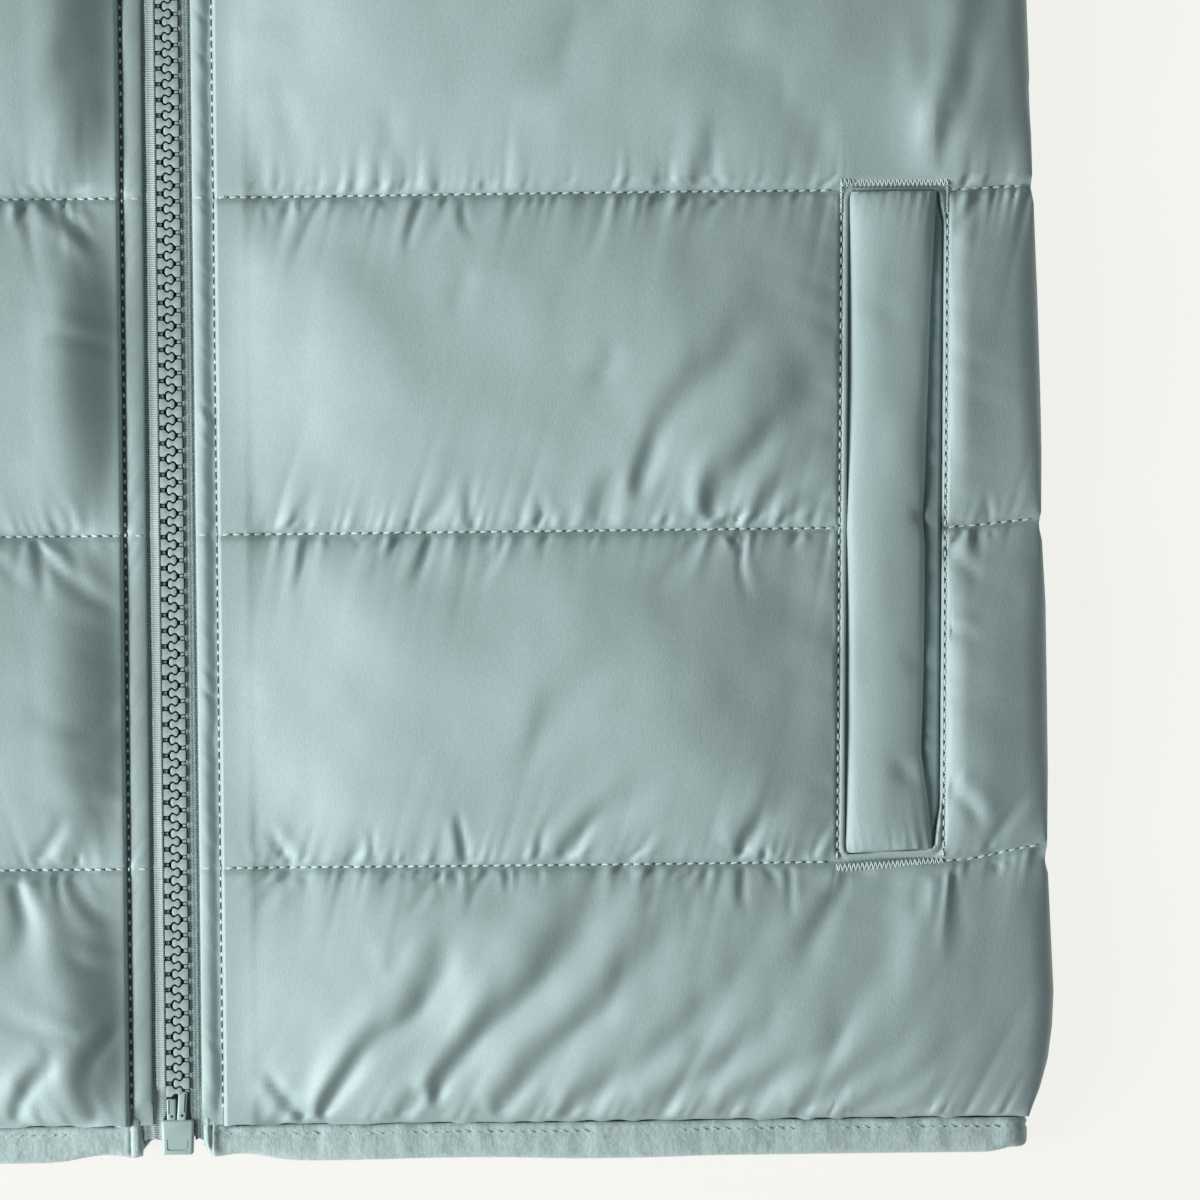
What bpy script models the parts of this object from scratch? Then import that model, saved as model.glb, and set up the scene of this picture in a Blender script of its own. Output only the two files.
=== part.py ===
import bpy
import bmesh
from math import cos, hypot, pi, sin, sqrt
from mathutils import Vector

# Child's quilted vest laid flat, face up: hem toward -Y, collar toward +Y, zip along Y.
# Lengths are in millimetres, x is measured from the zip's middle and h up from the hem.
MM = 0.001
COLLECTION_NAME = "reversible_vest"
TOTAL_LENGTH = 521.24
SEAM_GAP = 0.3

# Body outline
HALF_WIDTH = 184.3
ZIP_EDGE_X = 5.2
NECK_X = 65.0
NECK_H = 480.0
FRONT_NECK_H = 422.0
FRONT_NECK_POWER = 1.7
BACK_NECK_H = 465.0
SHOULDER_TIP_X = 142.0
SHOULDER_TIP_H = 455.0
UNDERARM_X = 179.5
UNDERARM_H = 285.0
ARMHOLE_WAIST_X = 138.0
ARMHOLE_WAIST_H = 345.0
SIDE_EDGE = (  # h, x
    (8.1, 178.8), (20.0, 182.9), (34.0, HALF_WIDTH), (62.0, 183.1), (97.0, 183.6), (132.0, 182.6),
    (160.0, 182.9), (202.8, 181.6), (242.0, 180.9), (276.9, UNDERARM_X),
)

# Quilting and padding
SEAM_ROWS = (62.0, 132.0, 202.8, 273.2, 343.6, 414.0)
SEAM_THICKNESS = 2.2
FRONT_LOFT = 7.0
FRONT_CROWN = 5.0  # the whole front arches this far between the zip and the side
CROWN_REACH = 45.0
ROW_REACH = 25.0
EDGE_REACH = 16.0
BACK_GROOVE_DEPTH = 1.5
BACK_GROOVE_REACH = 6.0

# Layers, as heights above the surface that the vest lies on
BACK_INSIDE_Z = 5.05
FRONT_INSIDE_Z = 5.35
BACK_EDGE_DIP = 1.9
ZIP_RAISE = 3.1
ZIP_RAISE_X = 16.0
ZIP_RAISE_END_X = 24.0

# Topstitched roll beside the zip
FURROW_X = 9.6
ROLL_X = 7.4
EDGE_RISE = 1.5
ROLL_RISE = 3.4
FURROW_RISE = 1.6
ZIP_PANEL_REACH = 14.0

# Bindings and collar, whose two layers fold round at the sides
BINDING_WIDTH = 7.8
STRIP_THICKNESS = 4.0
LOWER_STRIP_Z = 2.0
UPPER_STRIP_Z = 6.3
FOLD_STEPS = 4
BINDING_END_LEFT_X = 5.4
BINDING_END_RIGHT_X = -7.5
COLLAR_TOP_FRONT_H = 477.0
COLLAR_TOP_BACK_H = 518.0
COLLAR_TOP_SIDE_H = 521.5
COLLAR_TOP_SIDE_X = 61.0
COLLAR_FRONT_Z = 7.45
COLLAR_FOLD_INSET = 2.5
COLLAR_FOLD_CLEARANCE = 1.0

# Welt pocket
POCKET_LEFT_X = 142.3
POCKET_RIGHT_X = 161.0
POCKET_BOTTOM_H = 64.4
POCKET_TOP_H = 201.6
POCKET_WALL_RUN = 1.2
POCKET_FLOOR_Z = 8.4
POCKET_CLOTH_THICKNESS = 0.7
POCKET_BORDER_LOFT = 0.25
POCKET_REACH = 14.0
WELT_WIDTH = 15.2
WELT_THICKNESS = 2.8

# Zip
TAPE_Z = 7.75
TAPE_THICKNESS = 0.8
TAPE_OUTER_X = 15.0
TAPE_INNER_X = 3.25
TAPE_BOX_X = 3.75
TAPE_BOTTOM_H = 5.0
TAPE_TOP_H = 474.0
TEETH_WIDTH = 2.8
TEETH_HEIGHT = 2.6
TEETH_BOTTOM_H = 14.8
TEETH_TOP_H = 459.6
BOX_SIZE = (6.6, 7.35, 3.3)
BOX_H = 5.55
BOX_Z = 7.75
PIN_SIZE = (2.0, 4.9, 2.4)
PIN_X = 1.4
PIN_H = 12.0
SLIDER_H = 462.5
SLIDER_SIZE = (8.6, 12.0)
SLIDER_TOP_PLATE_Z = (9.35, 10.85)
SLIDER_BOTTOM_PLATE_Z = (5.35, 6.15)
SLIDER_POST_SIZE = (1.6, 5.0)
SLIDER_POST_H = 465.6
BAIL_WIDTH = 2.0
BAIL_LENGTH = 8.0
BAIL_BAR = 1.4
BAIL_TOP_Z = 14.3
BAIL_ROOF = 1.0
TAB_AXIS_H = 463.0
TAB_AXIS_Z = 12.05
TAB_WIDTH = 6.5
TAB_LENGTH = 23.0
TAB_THICKNESS = 1.4
TAB_SLOT_WIDTH = 3.0
TAB_SLOT_LENGTH = 4.8

# Colours as linear values
CLOTH_COLOUR = (0.34, 0.44, 0.44, 1.0)
TRIM_COLOUR = (0.30, 0.39, 0.39, 1.0)
PLASTIC_COLOUR = (0.24, 0.31, 0.31, 1.0)
DARK_CLOTH_COLOUR = (0.10, 0.13, 0.13, 1.0)


def world_point(x, h, z):
    return Vector((x * MM, (h - TOTAL_LENGTH / 2) * MM, z * MM))


def between(a, b, t):
    return a + (b - a) * t


def read_table(table, value):
    for (h0, x0), (h1, x1) in zip(table, table[1:]):
        if value <= h1:
            return between(x0, x1, max(0.0, (value - h0) / (h1 - h0)))
    return table[-1][1]


# Outline curves

def armhole_point(t, inset):
    """Point on the armhole, t from 0 at the underarm to 1 at the shoulder, inset into the panel."""
    if t <= 0.5:
        angle = t * pi
        a = UNDERARM_X - ARMHOLE_WAIST_X
        b = ARMHOLE_WAIST_H - UNDERARM_H
        x, h = UNDERARM_X - a * sin(angle), ARMHOLE_WAIST_H - b * cos(angle)
        nx, nh = -sin(angle) / a, -cos(angle) / b
    else:
        s = 2.0 * t - 1.0
        lean = SHOULDER_TIP_X - ARMHOLE_WAIST_X
        rise = SHOULDER_TIP_H - ARMHOLE_WAIST_H
        x, h = ARMHOLE_WAIST_X + lean * s * s, ARMHOLE_WAIST_H + rise * s
        nx, nh = -rise, 2.0 * lean * s
    length = hypot(nx, nh)
    return x + inset * nx / length, h + inset * nh / length


PANEL_INSET = BINDING_WIDTH + SEAM_GAP
PANEL_TIP_X = armhole_point(1.0, PANEL_INSET)[0]


def armhole_t(h):
    """The armhole's t where the panel's edge is at height h."""
    low, high = 0.0, 1.0
    for _ in range(40):
        middle = (low + high) / 2
        if armhole_point(middle, PANEL_INSET)[1] < h:
            low = middle
        else:
            high = middle
    return low


def outer_x(h):
    """Side edge of a panel at height h: the side seam, then the armhole."""
    if h <= UNDERARM_H - PANEL_INSET:
        return read_table(SIDE_EDGE, h)
    return armhole_point(armhole_t(h), PANEL_INSET)[0]


def shoulder_h(x):
    slope = (NECK_H - SHOULDER_TIP_H) / (SHOULDER_TIP_X - NECK_X)
    return NECK_H - slope * (x - NECK_X)


def front_neck_h(x):
    return between(FRONT_NECK_H, NECK_H, (x / NECK_X) ** FRONT_NECK_POWER)


def back_neck_h(x):
    return between(BACK_NECK_H, NECK_H, (x / NECK_X) ** 2)


def top_h(x, neck_h):
    return neck_h(x) if x < NECK_X else shoulder_h(x)


def neck_points(neck_h):
    return [(NECK_X * step / 8, neck_h(NECK_X * step / 8)) for step in range(9)]


def armhole_points():
    return [armhole_point(step / 14, PANEL_INSET) for step in range(15)]


def outline_points(neck_h):
    """Panel edge from the middle of the hem round the side and armhole to the middle of the neck."""
    side = [(x, h) for h, x in SIDE_EDGE]
    return [(0.0, PANEL_INSET)] + side + armhole_points() + neck_points(neck_h)[::-1]


def distance_to_line(x, h, points):
    nearest = 1e9
    for (x0, h0), (x1, h1) in zip(points, points[1:]):
        run = (x1 - x0) ** 2 + (h1 - h0) ** 2
        if run == 0.0:
            continue
        t = min(1.0, max(0.0, ((x - x0) * (x1 - x0) + (h - h0) * (h1 - h0)) / run))
        nearest = min(nearest, hypot(x - between(x0, x1, t), h - between(h0, h1, t)))
    return nearest


# Padding heights

def round_rise(distance, reach):
    left = 1.0 - min(1.0, max(0.0, distance / reach))
    return sqrt(1.0 - left * left)


def soft_rise(distance, reach):
    left = 1.0 - min(1.0, max(0.0, distance / reach))
    return 1.0 - left * left


def row_distance(h):
    return min(abs(h - row) for row in SEAM_ROWS)


def pocket_distance(x, h):
    dx = max(POCKET_LEFT_X - x, x - POCKET_RIGHT_X, 0.0)
    dh = max(POCKET_BOTTOM_H - h, h - POCKET_TOP_H, 0.0)
    return hypot(dx, dh)


def front_inside_z(x):
    ramp = (x - ZIP_RAISE_X) / (ZIP_RAISE_END_X - ZIP_RAISE_X)
    return FRONT_INSIDE_Z + ZIP_RAISE * (1.0 - min(1.0, max(0.0, ramp)))


def front_crown_z(x, edge_distance):
    across = min(1.0, max(0.0, (x - FURROW_X) / (HALF_WIDTH - FURROW_X)))
    return FRONT_CROWN * sin(pi * across) * soft_rise(edge_distance, CROWN_REACH)


def front_outside_z(x, h, outline):
    inside = front_inside_z(x)
    if x <= ROLL_X:
        return inside + between(EDGE_RISE, ROLL_RISE, (x - ZIP_EDGE_X) / (ROLL_X - ZIP_EDGE_X))
    if x <= FURROW_X:
        return inside + between(ROLL_RISE, FURROW_RISE, (x - ROLL_X) / (FURROW_X - ROLL_X))
    from_pocket = pocket_distance(x, h)
    if from_pocket < 0.01:
        return POCKET_FLOOR_Z
    from_edge = distance_to_line(x, h, outline)
    fullness = soft_rise(row_distance(h), ROW_REACH)
    fullness *= round_rise(from_edge, EDGE_REACH)
    fullness *= round_rise(x - FURROW_X, ZIP_PANEL_REACH)
    fullness *= between(POCKET_BORDER_LOFT, 1.0, soft_rise(from_pocket, POCKET_REACH))
    padding = SEAM_THICKNESS + FRONT_LOFT * fullness + front_crown_z(x, from_edge)
    return max(FRONT_INSIDE_Z + padding, inside + FURROW_RISE)


def back_layers_z(x, h, outline, bound_edges):
    dip = 1.0 - round_rise(min(distance_to_line(x, h, edge) for edge in bound_edges), EDGE_REACH)
    inside = BACK_INSIDE_Z - BACK_EDGE_DIP * dip
    rise = round_rise(distance_to_line(x, h, outline), EDGE_REACH)
    groove = BACK_GROOVE_DEPTH * max(0.0, 1.0 - row_distance(h) / BACK_GROOVE_REACH)
    outside = max(groove, between(inside - SEAM_THICKNESS, 0.0, rise))
    return outside, inside


# Panel grids

FRONT_COLUMNS = (ZIP_EDGE_X, ROLL_X, FURROW_X, ZIP_RAISE_X, ZIP_RAISE_END_X, 44.0, 58.0, NECK_X, 90.0, 120.0,
                 POCKET_LEFT_X - POCKET_WALL_RUN, POCKET_LEFT_X, 151.5, POCKET_RIGHT_X,
                 POCKET_RIGHT_X + POCKET_WALL_RUN)
BACK_COLUMNS = (0.0, 30.0, 52.0, NECK_X, 90.0, 120.0, 148.0)
SIDE_FRACTIONS = (0.4, 0.72, 0.92, 1.0)
ROW_OFFSETS = (3.5, 9.0, 18.0)
ARMHOLE_ROWS = (0.065, 0.13, 0.19, 0.25, 0.32, 0.4)
TOP_FRACTIONS = (0.2, 0.5, 0.8, 1.0)


def column_xs(columns, row_outer_x):
    """Columns keep their x in the body and close up evenly beside the armhole."""
    last = columns[-1]
    if row_outer_x < UNDERARM_X - 1.0:
        squeeze = (row_outer_x - NECK_X) / (UNDERARM_X - NECK_X)
        columns = [x if x <= NECK_X else NECK_X + (x - NECK_X) * squeeze for x in columns]
        last = columns[-1]
    return list(columns) + [between(last, row_outer_x, f) for f in SIDE_FRACTIONS]


def body_heights(extra_rows):
    heights = {PANEL_INSET, 11.0, 16.0, 26.0, UNDERARM_H - PANEL_INSET, *extra_rows}
    for low, high in zip(SEAM_ROWS, SEAM_ROWS[1:]):
        heights.add((low + high) / 2)
    for row in SEAM_ROWS:
        heights.add(row)
        for offset in ROW_OFFSETS:
            heights.update((row - offset, row + offset))
    top_row = SEAM_ROWS[-1]
    heights.update(armhole_point(t, PANEL_INSET)[1] for t in ARMHOLE_ROWS)
    heights = sorted(h for h in heights if h <= top_row)
    kept = [heights[0]]
    needed = {UNDERARM_H - PANEL_INSET, *SEAM_ROWS, *extra_rows}
    for h in heights[1:]:
        if h - kept[-1] > 1.0:
            kept.append(h)
        elif h in needed:
            kept[-1] = h
    return kept


def armhole_ts(extra_rows):
    """Values of t at the ends of the panel's rows, which the binding follows."""
    body = [armhole_t(h) for h in body_heights(extra_rows) if h >= UNDERARM_H - PANEL_INSET - 0.1]
    return body + [between(body[-1], 1.0, fraction) for fraction in TOP_FRACTIONS]


def panel_rows(columns, neck_h, extra_rows):
    """Rows of (x, h): level across the body, then fanned up to the neckline and shoulder."""
    rows = []
    for h in body_heights(extra_rows):
        rows.append([(x, h) for x in column_xs(columns, outer_x(h))])
    base_h = SEAM_ROWS[-1]
    for fraction in TOP_FRACTIONS:
        t = between(armhole_t(base_h), 1.0, fraction)
        end = armhole_point(t, PANEL_INSET)
        xs = column_xs(columns, end[0])
        row = [(x, between(base_h, top_h(x, neck_h), fraction)) for x in xs]
        rows.append(row[:-1] + [end])
    return rows


def add_object(name, bm, material):
    bmesh.ops.recalc_face_normals(bm, faces=bm.faces)
    mesh = bpy.data.meshes.new(name)
    bm.to_mesh(mesh)
    bm.free()
    mesh.materials.append(material)
    mesh.shade_smooth()
    mesh.set_sharp_from_angle(angle=0.7)
    item = bpy.data.objects.new(name, mesh)
    bpy.data.collections[COLLECTION_NAME].objects.link(item)
    return item


def loft_wall(name, rows, layers, material):
    """Closed wall through rows of (x, h), with layers(x, h) giving its lower and upper z."""
    bm = bmesh.new()
    sheets = []
    for side in (0, 1):
        sheets.append([[bm.verts.new(world_point(x, h, layers(x, h)[side])) for x, h in row]
                       for row in rows])
    for low, high in ((r, r + 1) for r in range(len(rows) - 1)):
        for c in range(len(rows[0]) - 1):
            for sheet in sheets:
                bm.faces.new((sheet[low][c], sheet[low][c + 1], sheet[high][c + 1], sheet[high][c]))
    last_row, last_column = len(rows) - 1, len(rows[0]) - 1
    ring = [(0, c) for c in range(last_column)] + [(r, last_column) for r in range(last_row)]
    ring += [(last_row, c) for c in range(last_column, 0, -1)] + [(r, 0) for r in range(last_row, 0, -1)]
    for (r0, c0), (r1, c1) in zip(ring, ring[1:] + ring[:1]):
        bm.faces.new((sheets[0][r0][c0], sheets[0][r1][c1], sheets[1][r1][c1], sheets[1][r0][c0]))
    return add_object(name, bm, material)


def build_fronts(material):
    outline = outline_points(front_neck_h)
    pocket_rows = (POCKET_BOTTOM_H - POCKET_WALL_RUN, POCKET_BOTTOM_H, POCKET_TOP_H)
    rows = panel_rows(FRONT_COLUMNS, front_neck_h, pocket_rows)

    def layers(x, h):
        return front_inside_z(abs(x)), front_outside_z(abs(x), h, outline)

    for name, side in (("front_left", 1), ("front_right", -1)):
        loft_wall(name, [[(x * side, h) for x, h in row] for row in rows], layers, material)


def build_back(material):
    outline = outline_points(back_neck_h)
    bound_edges = (outline[:2], armhole_points(), neck_points(back_neck_h))
    half_rows = panel_rows(BACK_COLUMNS, back_neck_h, ())
    rows = [[(-x, h) for x, h in reversed(row[1:])] + row for row in half_rows]

    def layers(x, h):
        return back_layers_z(abs(x), h, outline, bound_edges)

    loft_wall("back", rows, layers, material)


# Strips: bindings and collar

def strip_profile():
    half = STRIP_THICKNESS / 2
    return ((0.0, -half), (0.88, -half), (1.0, -half / 2), (1.0, half / 2), (0.88, half), (0.0, half))


def sweep_strip(name, stations, material):
    """Closed strip through stations of (root, reach, lift): the profile runs from root along reach."""
    bm = bmesh.new()
    loops = []
    for root, reach, lift in stations:
        loops.append([bm.verts.new(root + reach * n + lift * (b * MM)) for n, b in strip_profile()])
    count = len(loops[0])
    for low, high in zip(loops, loops[1:]):
        for k in range(count):
            following = (k + 1) % count
            bm.faces.new((low[k], low[following], high[following], high[k]))
    bm.faces.new(loops[0])
    bm.faces.new(loops[-1])
    return add_object(name, bm, material)


def fold_stations(station, outward, root_lift=0.0):
    """Stations that carry a strip from the upper layer round to the lower one."""
    root, reach, _ = station
    shift = Vector((0.0, root_lift * MM, 0.0))
    radius = (UPPER_STRIP_Z - LOWER_STRIP_Z) / 2 * MM
    centre = root + shift - Vector((0.0, 0.0, radius))
    stations = []
    for step in range(1, FOLD_STEPS):
        angle = pi * step / FOLD_STEPS
        lift = Vector((0.0, 0.0, 1.0)) * cos(angle) + outward * sin(angle)
        stations.append((centre + lift * radius, reach - shift, lift))
    return stations


UP = Vector((0.0, 0.0, 1.0))


def flat_station(x, h, reach_x, reach_h, z, side=1):
    lift = UP if z >= LOWER_STRIP_Z + 1.0 else -UP
    return world_point(x * side, h, z), Vector((reach_x * side * MM, reach_h * MM, 0.0)), lift


def hem_stations():
    fold_x = SIDE_EDGE[0][1] - UPPER_STRIP_Z + LOWER_STRIP_Z
    steps = [fold_x * step / 5 for step in range(1, 6)]

    def layer(xs, z, side):
        return [flat_station(x, BINDING_WIDTH, 0.0, -BINDING_WIDTH, z, side) for x in xs]

    left = layer([BINDING_END_LEFT_X] + steps, UPPER_STRIP_Z, 1)
    right = layer([-BINDING_END_RIGHT_X] + steps, UPPER_STRIP_Z, -1)
    left += fold_stations(left[-1], Vector((1.0, 0.0, 0.0)))
    right += fold_stations(right[-1], Vector((-1.0, 0.0, 0.0)))
    below = layer(steps[::-1], LOWER_STRIP_Z, 1) + layer([0.0], LOWER_STRIP_Z, 1)
    below += layer(steps, LOWER_STRIP_Z, -1)
    return left + below + right[::-1]


def armhole_stations(side):
    front, back = [], []
    for t in armhole_ts(()):
        inner = armhole_point(t, BINDING_WIDTH)
        rim = armhole_point(t, 0.0)
        reach = (rim[0] - inner[0], rim[1] - inner[1])
        front.append(flat_station(*inner, *reach, UPPER_STRIP_Z, side))
        back.append(flat_station(*inner, *reach, LOWER_STRIP_Z, side))
    return front + fold_stations(front[-1], Vector((0.0, 1.0, 0.0))) + back[::-1]


def collar_top_h(x, middle_h):
    return between(middle_h, COLLAR_TOP_SIDE_H, (x / COLLAR_TOP_SIDE_X) ** 2)


def collar_station(x, neck_h, middle_h, z, side):
    """The band rises from just above the neck seam to its top edge, which is a little narrower."""
    root_h = neck_h(x) + 2 * SEAM_GAP
    top_x = x * COLLAR_TOP_SIDE_X / NECK_X
    return flat_station(x, root_h, top_x - x, collar_top_h(top_x, middle_h) - root_h, z, side)


def collar_stations():
    fold_x = NECK_X - COLLAR_FOLD_INSET
    fold_lift = NECK_H + COLLAR_FOLD_CLEARANCE - front_neck_h(fold_x)
    front_xs = [ZIP_EDGE_X + 0.2] + [x for x in FRONT_COLUMNS if ZIP_EDGE_X < x < NECK_X] + [fold_x]
    back_xs = [x for x in BACK_COLUMNS if 0.0 < x < NECK_X] + [fold_x]
    front = {1: [], -1: []}
    for side in front:
        for x in front_xs:
            z = UPPER_STRIP_Z if x == fold_x else COLLAR_FRONT_Z + front_inside_z(x) - FRONT_INSIDE_Z
            front[side].append(collar_station(x, front_neck_h, COLLAR_TOP_FRONT_H, z, side))
        front[side] += fold_stations(front[side][-1], Vector((float(side), 0.0, 0.0)), fold_lift)
    lower = (back_neck_h, COLLAR_TOP_BACK_H, LOWER_STRIP_Z)
    below = [collar_station(x, *lower, 1) for x in back_xs[::-1]]
    below += [collar_station(0.0, *lower, 1)] + [collar_station(x, *lower, -1) for x in back_xs]
    return front[1] + below + front[-1][::-1]


def build_strips(material):
    sweep_strip("hem_binding", hem_stations(), material)
    sweep_strip("armhole_binding_left", armhole_stations(1), material)
    sweep_strip("armhole_binding_right", armhole_stations(-1), material)


# Boxes and flat plates

def add_box(name, size, place, material, bevel=0.0):
    """Box of size (x, h, z) with its middle at place (x, h, z)."""
    bm = bmesh.new()
    bmesh.ops.create_cube(bm, size=1.0)
    bmesh.ops.scale(bm, vec=[length * MM for length in size], verts=bm.verts)
    if bevel:
        bmesh.ops.bevel(bm, geom=bm.edges[:], offset=bevel * MM, segments=2, profile=0.5,
                        affect='EDGES')
    item = add_object(name, bm, material)
    item.location = world_point(*place)
    return item


def add_plate(name, outline, z, thickness, material):
    """Flat plate from an outline of (x, h), centred on z."""
    bm = bmesh.new()
    face = bm.faces.new([bm.verts.new(world_point(x, h, z - thickness / 2)) for x, h in outline])
    grown = bmesh.ops.extrude_face_region(bm, geom=[face])
    top = [item for item in grown["geom"] if isinstance(item, bmesh.types.BMVert)]
    bmesh.ops.translate(bm, verts=top, vec=(0.0, 0.0, thickness * MM))
    return add_object(name, bm, material)


def apply_boolean(item, other, operation):
    modifier = item.modifiers.new(operation.title(), 'BOOLEAN')
    modifier.operation = operation
    modifier.object = other
    other.hide_render = True
    other.display_type = 'WIRE'
    for collection in list(other.users_collection):
        collection.objects.unlink(other)
    bpy.data.collections["cutters"].objects.link(other)


def build_pockets(cloth, dark_cloth):
    length = POCKET_TOP_H - POCKET_BOTTOM_H - 2 * SEAM_GAP
    width = POCKET_RIGHT_X - POCKET_LEFT_X - 2 * SEAM_GAP
    middle_h = (POCKET_TOP_H + POCKET_BOTTOM_H) / 2
    cloth_z = POCKET_FLOOR_Z + SEAM_GAP + POCKET_CLOTH_THICKNESS / 2
    welt_z = POCKET_FLOOR_Z + 2 * SEAM_GAP + POCKET_CLOTH_THICKNESS + WELT_THICKNESS / 2
    for name, side in (("left", 1), ("right", -1)):
        cloth_x = side * (POCKET_LEFT_X + POCKET_RIGHT_X) / 2
        add_box("pocket_cloth_" + name, (width, length, POCKET_CLOTH_THICKNESS),
                (cloth_x, middle_h, cloth_z), dark_cloth)
        welt_x = side * (POCKET_LEFT_X + SEAM_GAP + WELT_WIDTH / 2)
        add_box("pocket_welt_" + name, (WELT_WIDTH, length, WELT_THICKNESS),
                (welt_x, middle_h, welt_z), cloth, bevel=1.1)


# Zip

def build_tapes(material):
    top_of_box = BOX_H + BOX_SIZE[1] / 2 + SEAM_GAP
    outline = (
        (TAPE_BOX_X, TAPE_BOTTOM_H), (ZIP_EDGE_X - 0.1, TAPE_BOTTOM_H),
        (ZIP_EDGE_X - 0.1, PANEL_INSET + SEAM_GAP), (TAPE_OUTER_X, PANEL_INSET + SEAM_GAP),
        (TAPE_OUTER_X, TAPE_TOP_H), (TAPE_INNER_X, TAPE_TOP_H),
        (TAPE_INNER_X, top_of_box + 0.5), (TAPE_BOX_X, top_of_box),
    )
    for name, side in (("zip_tape_left", 1), ("zip_tape_right", -1)):
        add_plate(name, [(x * side, h) for x, h in outline], TAPE_Z, TAPE_THICKNESS, material)


def build_teeth(material):
    length = TEETH_TOP_H - TEETH_BOTTOM_H
    middle_h = (TEETH_TOP_H + TEETH_BOTTOM_H) / 2
    for name, side in (("left", 1), ("right", -1)):
        add_box("zip_teeth_" + name, (TEETH_WIDTH, length, TEETH_HEIGHT),
                (side * (0.15 + TEETH_WIDTH / 2), middle_h, TAPE_Z), material, bevel=0.4)
        add_box("zip_pin_" + name, PIN_SIZE, (side * PIN_X, PIN_H, TAPE_Z), material, bevel=0.3)
    add_box("zip_box", BOX_SIZE, (0.0, BOX_H, BOX_Z), material, bevel=0.6)


def build_slider(material):
    low_z, high_z = SLIDER_BOTTOM_PLATE_Z[0], SLIDER_TOP_PLATE_Z[1]
    plate_z = sum(SLIDER_TOP_PLATE_Z) / 2
    plate_height = SLIDER_TOP_PLATE_Z[1] - SLIDER_TOP_PLATE_Z[0]
    slider = add_box("zip_slider", (*SLIDER_SIZE, plate_height), (0.0, SLIDER_H, plate_z), material,
                     bevel=0.4)
    foot_z = sum(SLIDER_BOTTOM_PLATE_Z) / 2
    foot_height = SLIDER_BOTTOM_PLATE_Z[1] - SLIDER_BOTTOM_PLATE_Z[0]
    foot = add_box("slider_foot", (*SLIDER_SIZE, foot_height), (0.0, SLIDER_H, foot_z), material)
    post_height = high_z - low_z - 1.0
    post = add_box("slider_post", (*SLIDER_POST_SIZE, post_height),
                   (0.0, SLIDER_POST_H, (high_z + low_z) / 2), material)
    bail_base_z = high_z - 0.5
    bail = add_box("slider_bail", (BAIL_WIDTH, BAIL_LENGTH, BAIL_TOP_Z - bail_base_z),
                   (0.0, TAB_AXIS_H, (BAIL_TOP_Z + bail_base_z) / 2), material, bevel=0.3)
    gap_top_z = BAIL_TOP_Z - BAIL_ROOF
    bail_gap = add_box("slider_bail_gap", (BAIL_WIDTH * 3, BAIL_LENGTH - 2 * BAIL_BAR, gap_top_z - high_z),
                       (0.0, TAB_AXIS_H, (gap_top_z + high_z) / 2), material)
    apply_boolean(slider, foot, 'UNION')
    apply_boolean(slider, post, 'UNION')
    apply_boolean(slider, bail, 'UNION')
    apply_boolean(slider, bail_gap, 'DIFFERENCE')


def build_tab(material):
    """Flat tab whose top bar lies under the slider's bail, on its hinge axis."""
    hinge = bpy.data.objects.new("tab_hinge", None)
    bpy.data.collections[COLLECTION_NAME].objects.link(hinge)
    hinge.location = world_point(0.0, TAB_AXIS_H, TAB_AXIS_Z)
    bar = TAB_THICKNESS
    tab = add_box("pull_tab", (TAB_WIDTH, TAB_LENGTH, TAB_THICKNESS), (0.0, 0.0, 0.0), material, bevel=0.3)
    slot = add_box("tab_slot", (TAB_SLOT_WIDTH, TAB_SLOT_LENGTH, TAB_THICKNESS * 3), (0.0, 0.0, 0.0), material)
    tab.parent = hinge
    tab.location = (0.0, (bar - TAB_LENGTH) / 2 * MM, 0.0)
    slot.parent = hinge
    slot.location = (0.0, -(bar + TAB_SLOT_LENGTH) / 2 * MM, 0.0)
    apply_boolean(tab, slot, 'DIFFERENCE')


def make_material(name, colour, roughness):
    material = bpy.data.materials.new(name)
    material.use_nodes = True
    shader = material.node_tree.nodes["Principled BSDF"]
    shader.inputs["Base Color"].default_value = colour
    shader.inputs["Roughness"].default_value = roughness
    shader.inputs["Metallic"].default_value = 0.0
    return material


def main():
    for item in list(bpy.data.objects):
        bpy.data.objects.remove(item, do_unlink=True)
    for name in (COLLECTION_NAME, "cutters"):
        collection = bpy.data.collections.new(name)
        bpy.context.scene.collection.children.link(collection)
    cloth = make_material("satin_cloth", CLOTH_COLOUR, 0.5)
    trim = make_material("knit_trim", TRIM_COLOUR, 0.85)
    dark_cloth = make_material("pocket_cloth", DARK_CLOTH_COLOUR, 0.8)
    plastic = make_material("moulded_plastic", PLASTIC_COLOUR, 0.4)
    build_fronts(cloth)
    build_back(cloth)
    sweep_strip("collar", collar_stations(), cloth)
    build_strips(trim)
    build_pockets(cloth, dark_cloth)
    build_tapes(trim)
    build_teeth(plastic)
    build_slider(plastic)
    build_tab(plastic)


main()
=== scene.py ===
import bpy
from math import atan2, cos, hypot, pi, radians, sin
import numpy as np
from mathutils import Matrix, Vector

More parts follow.
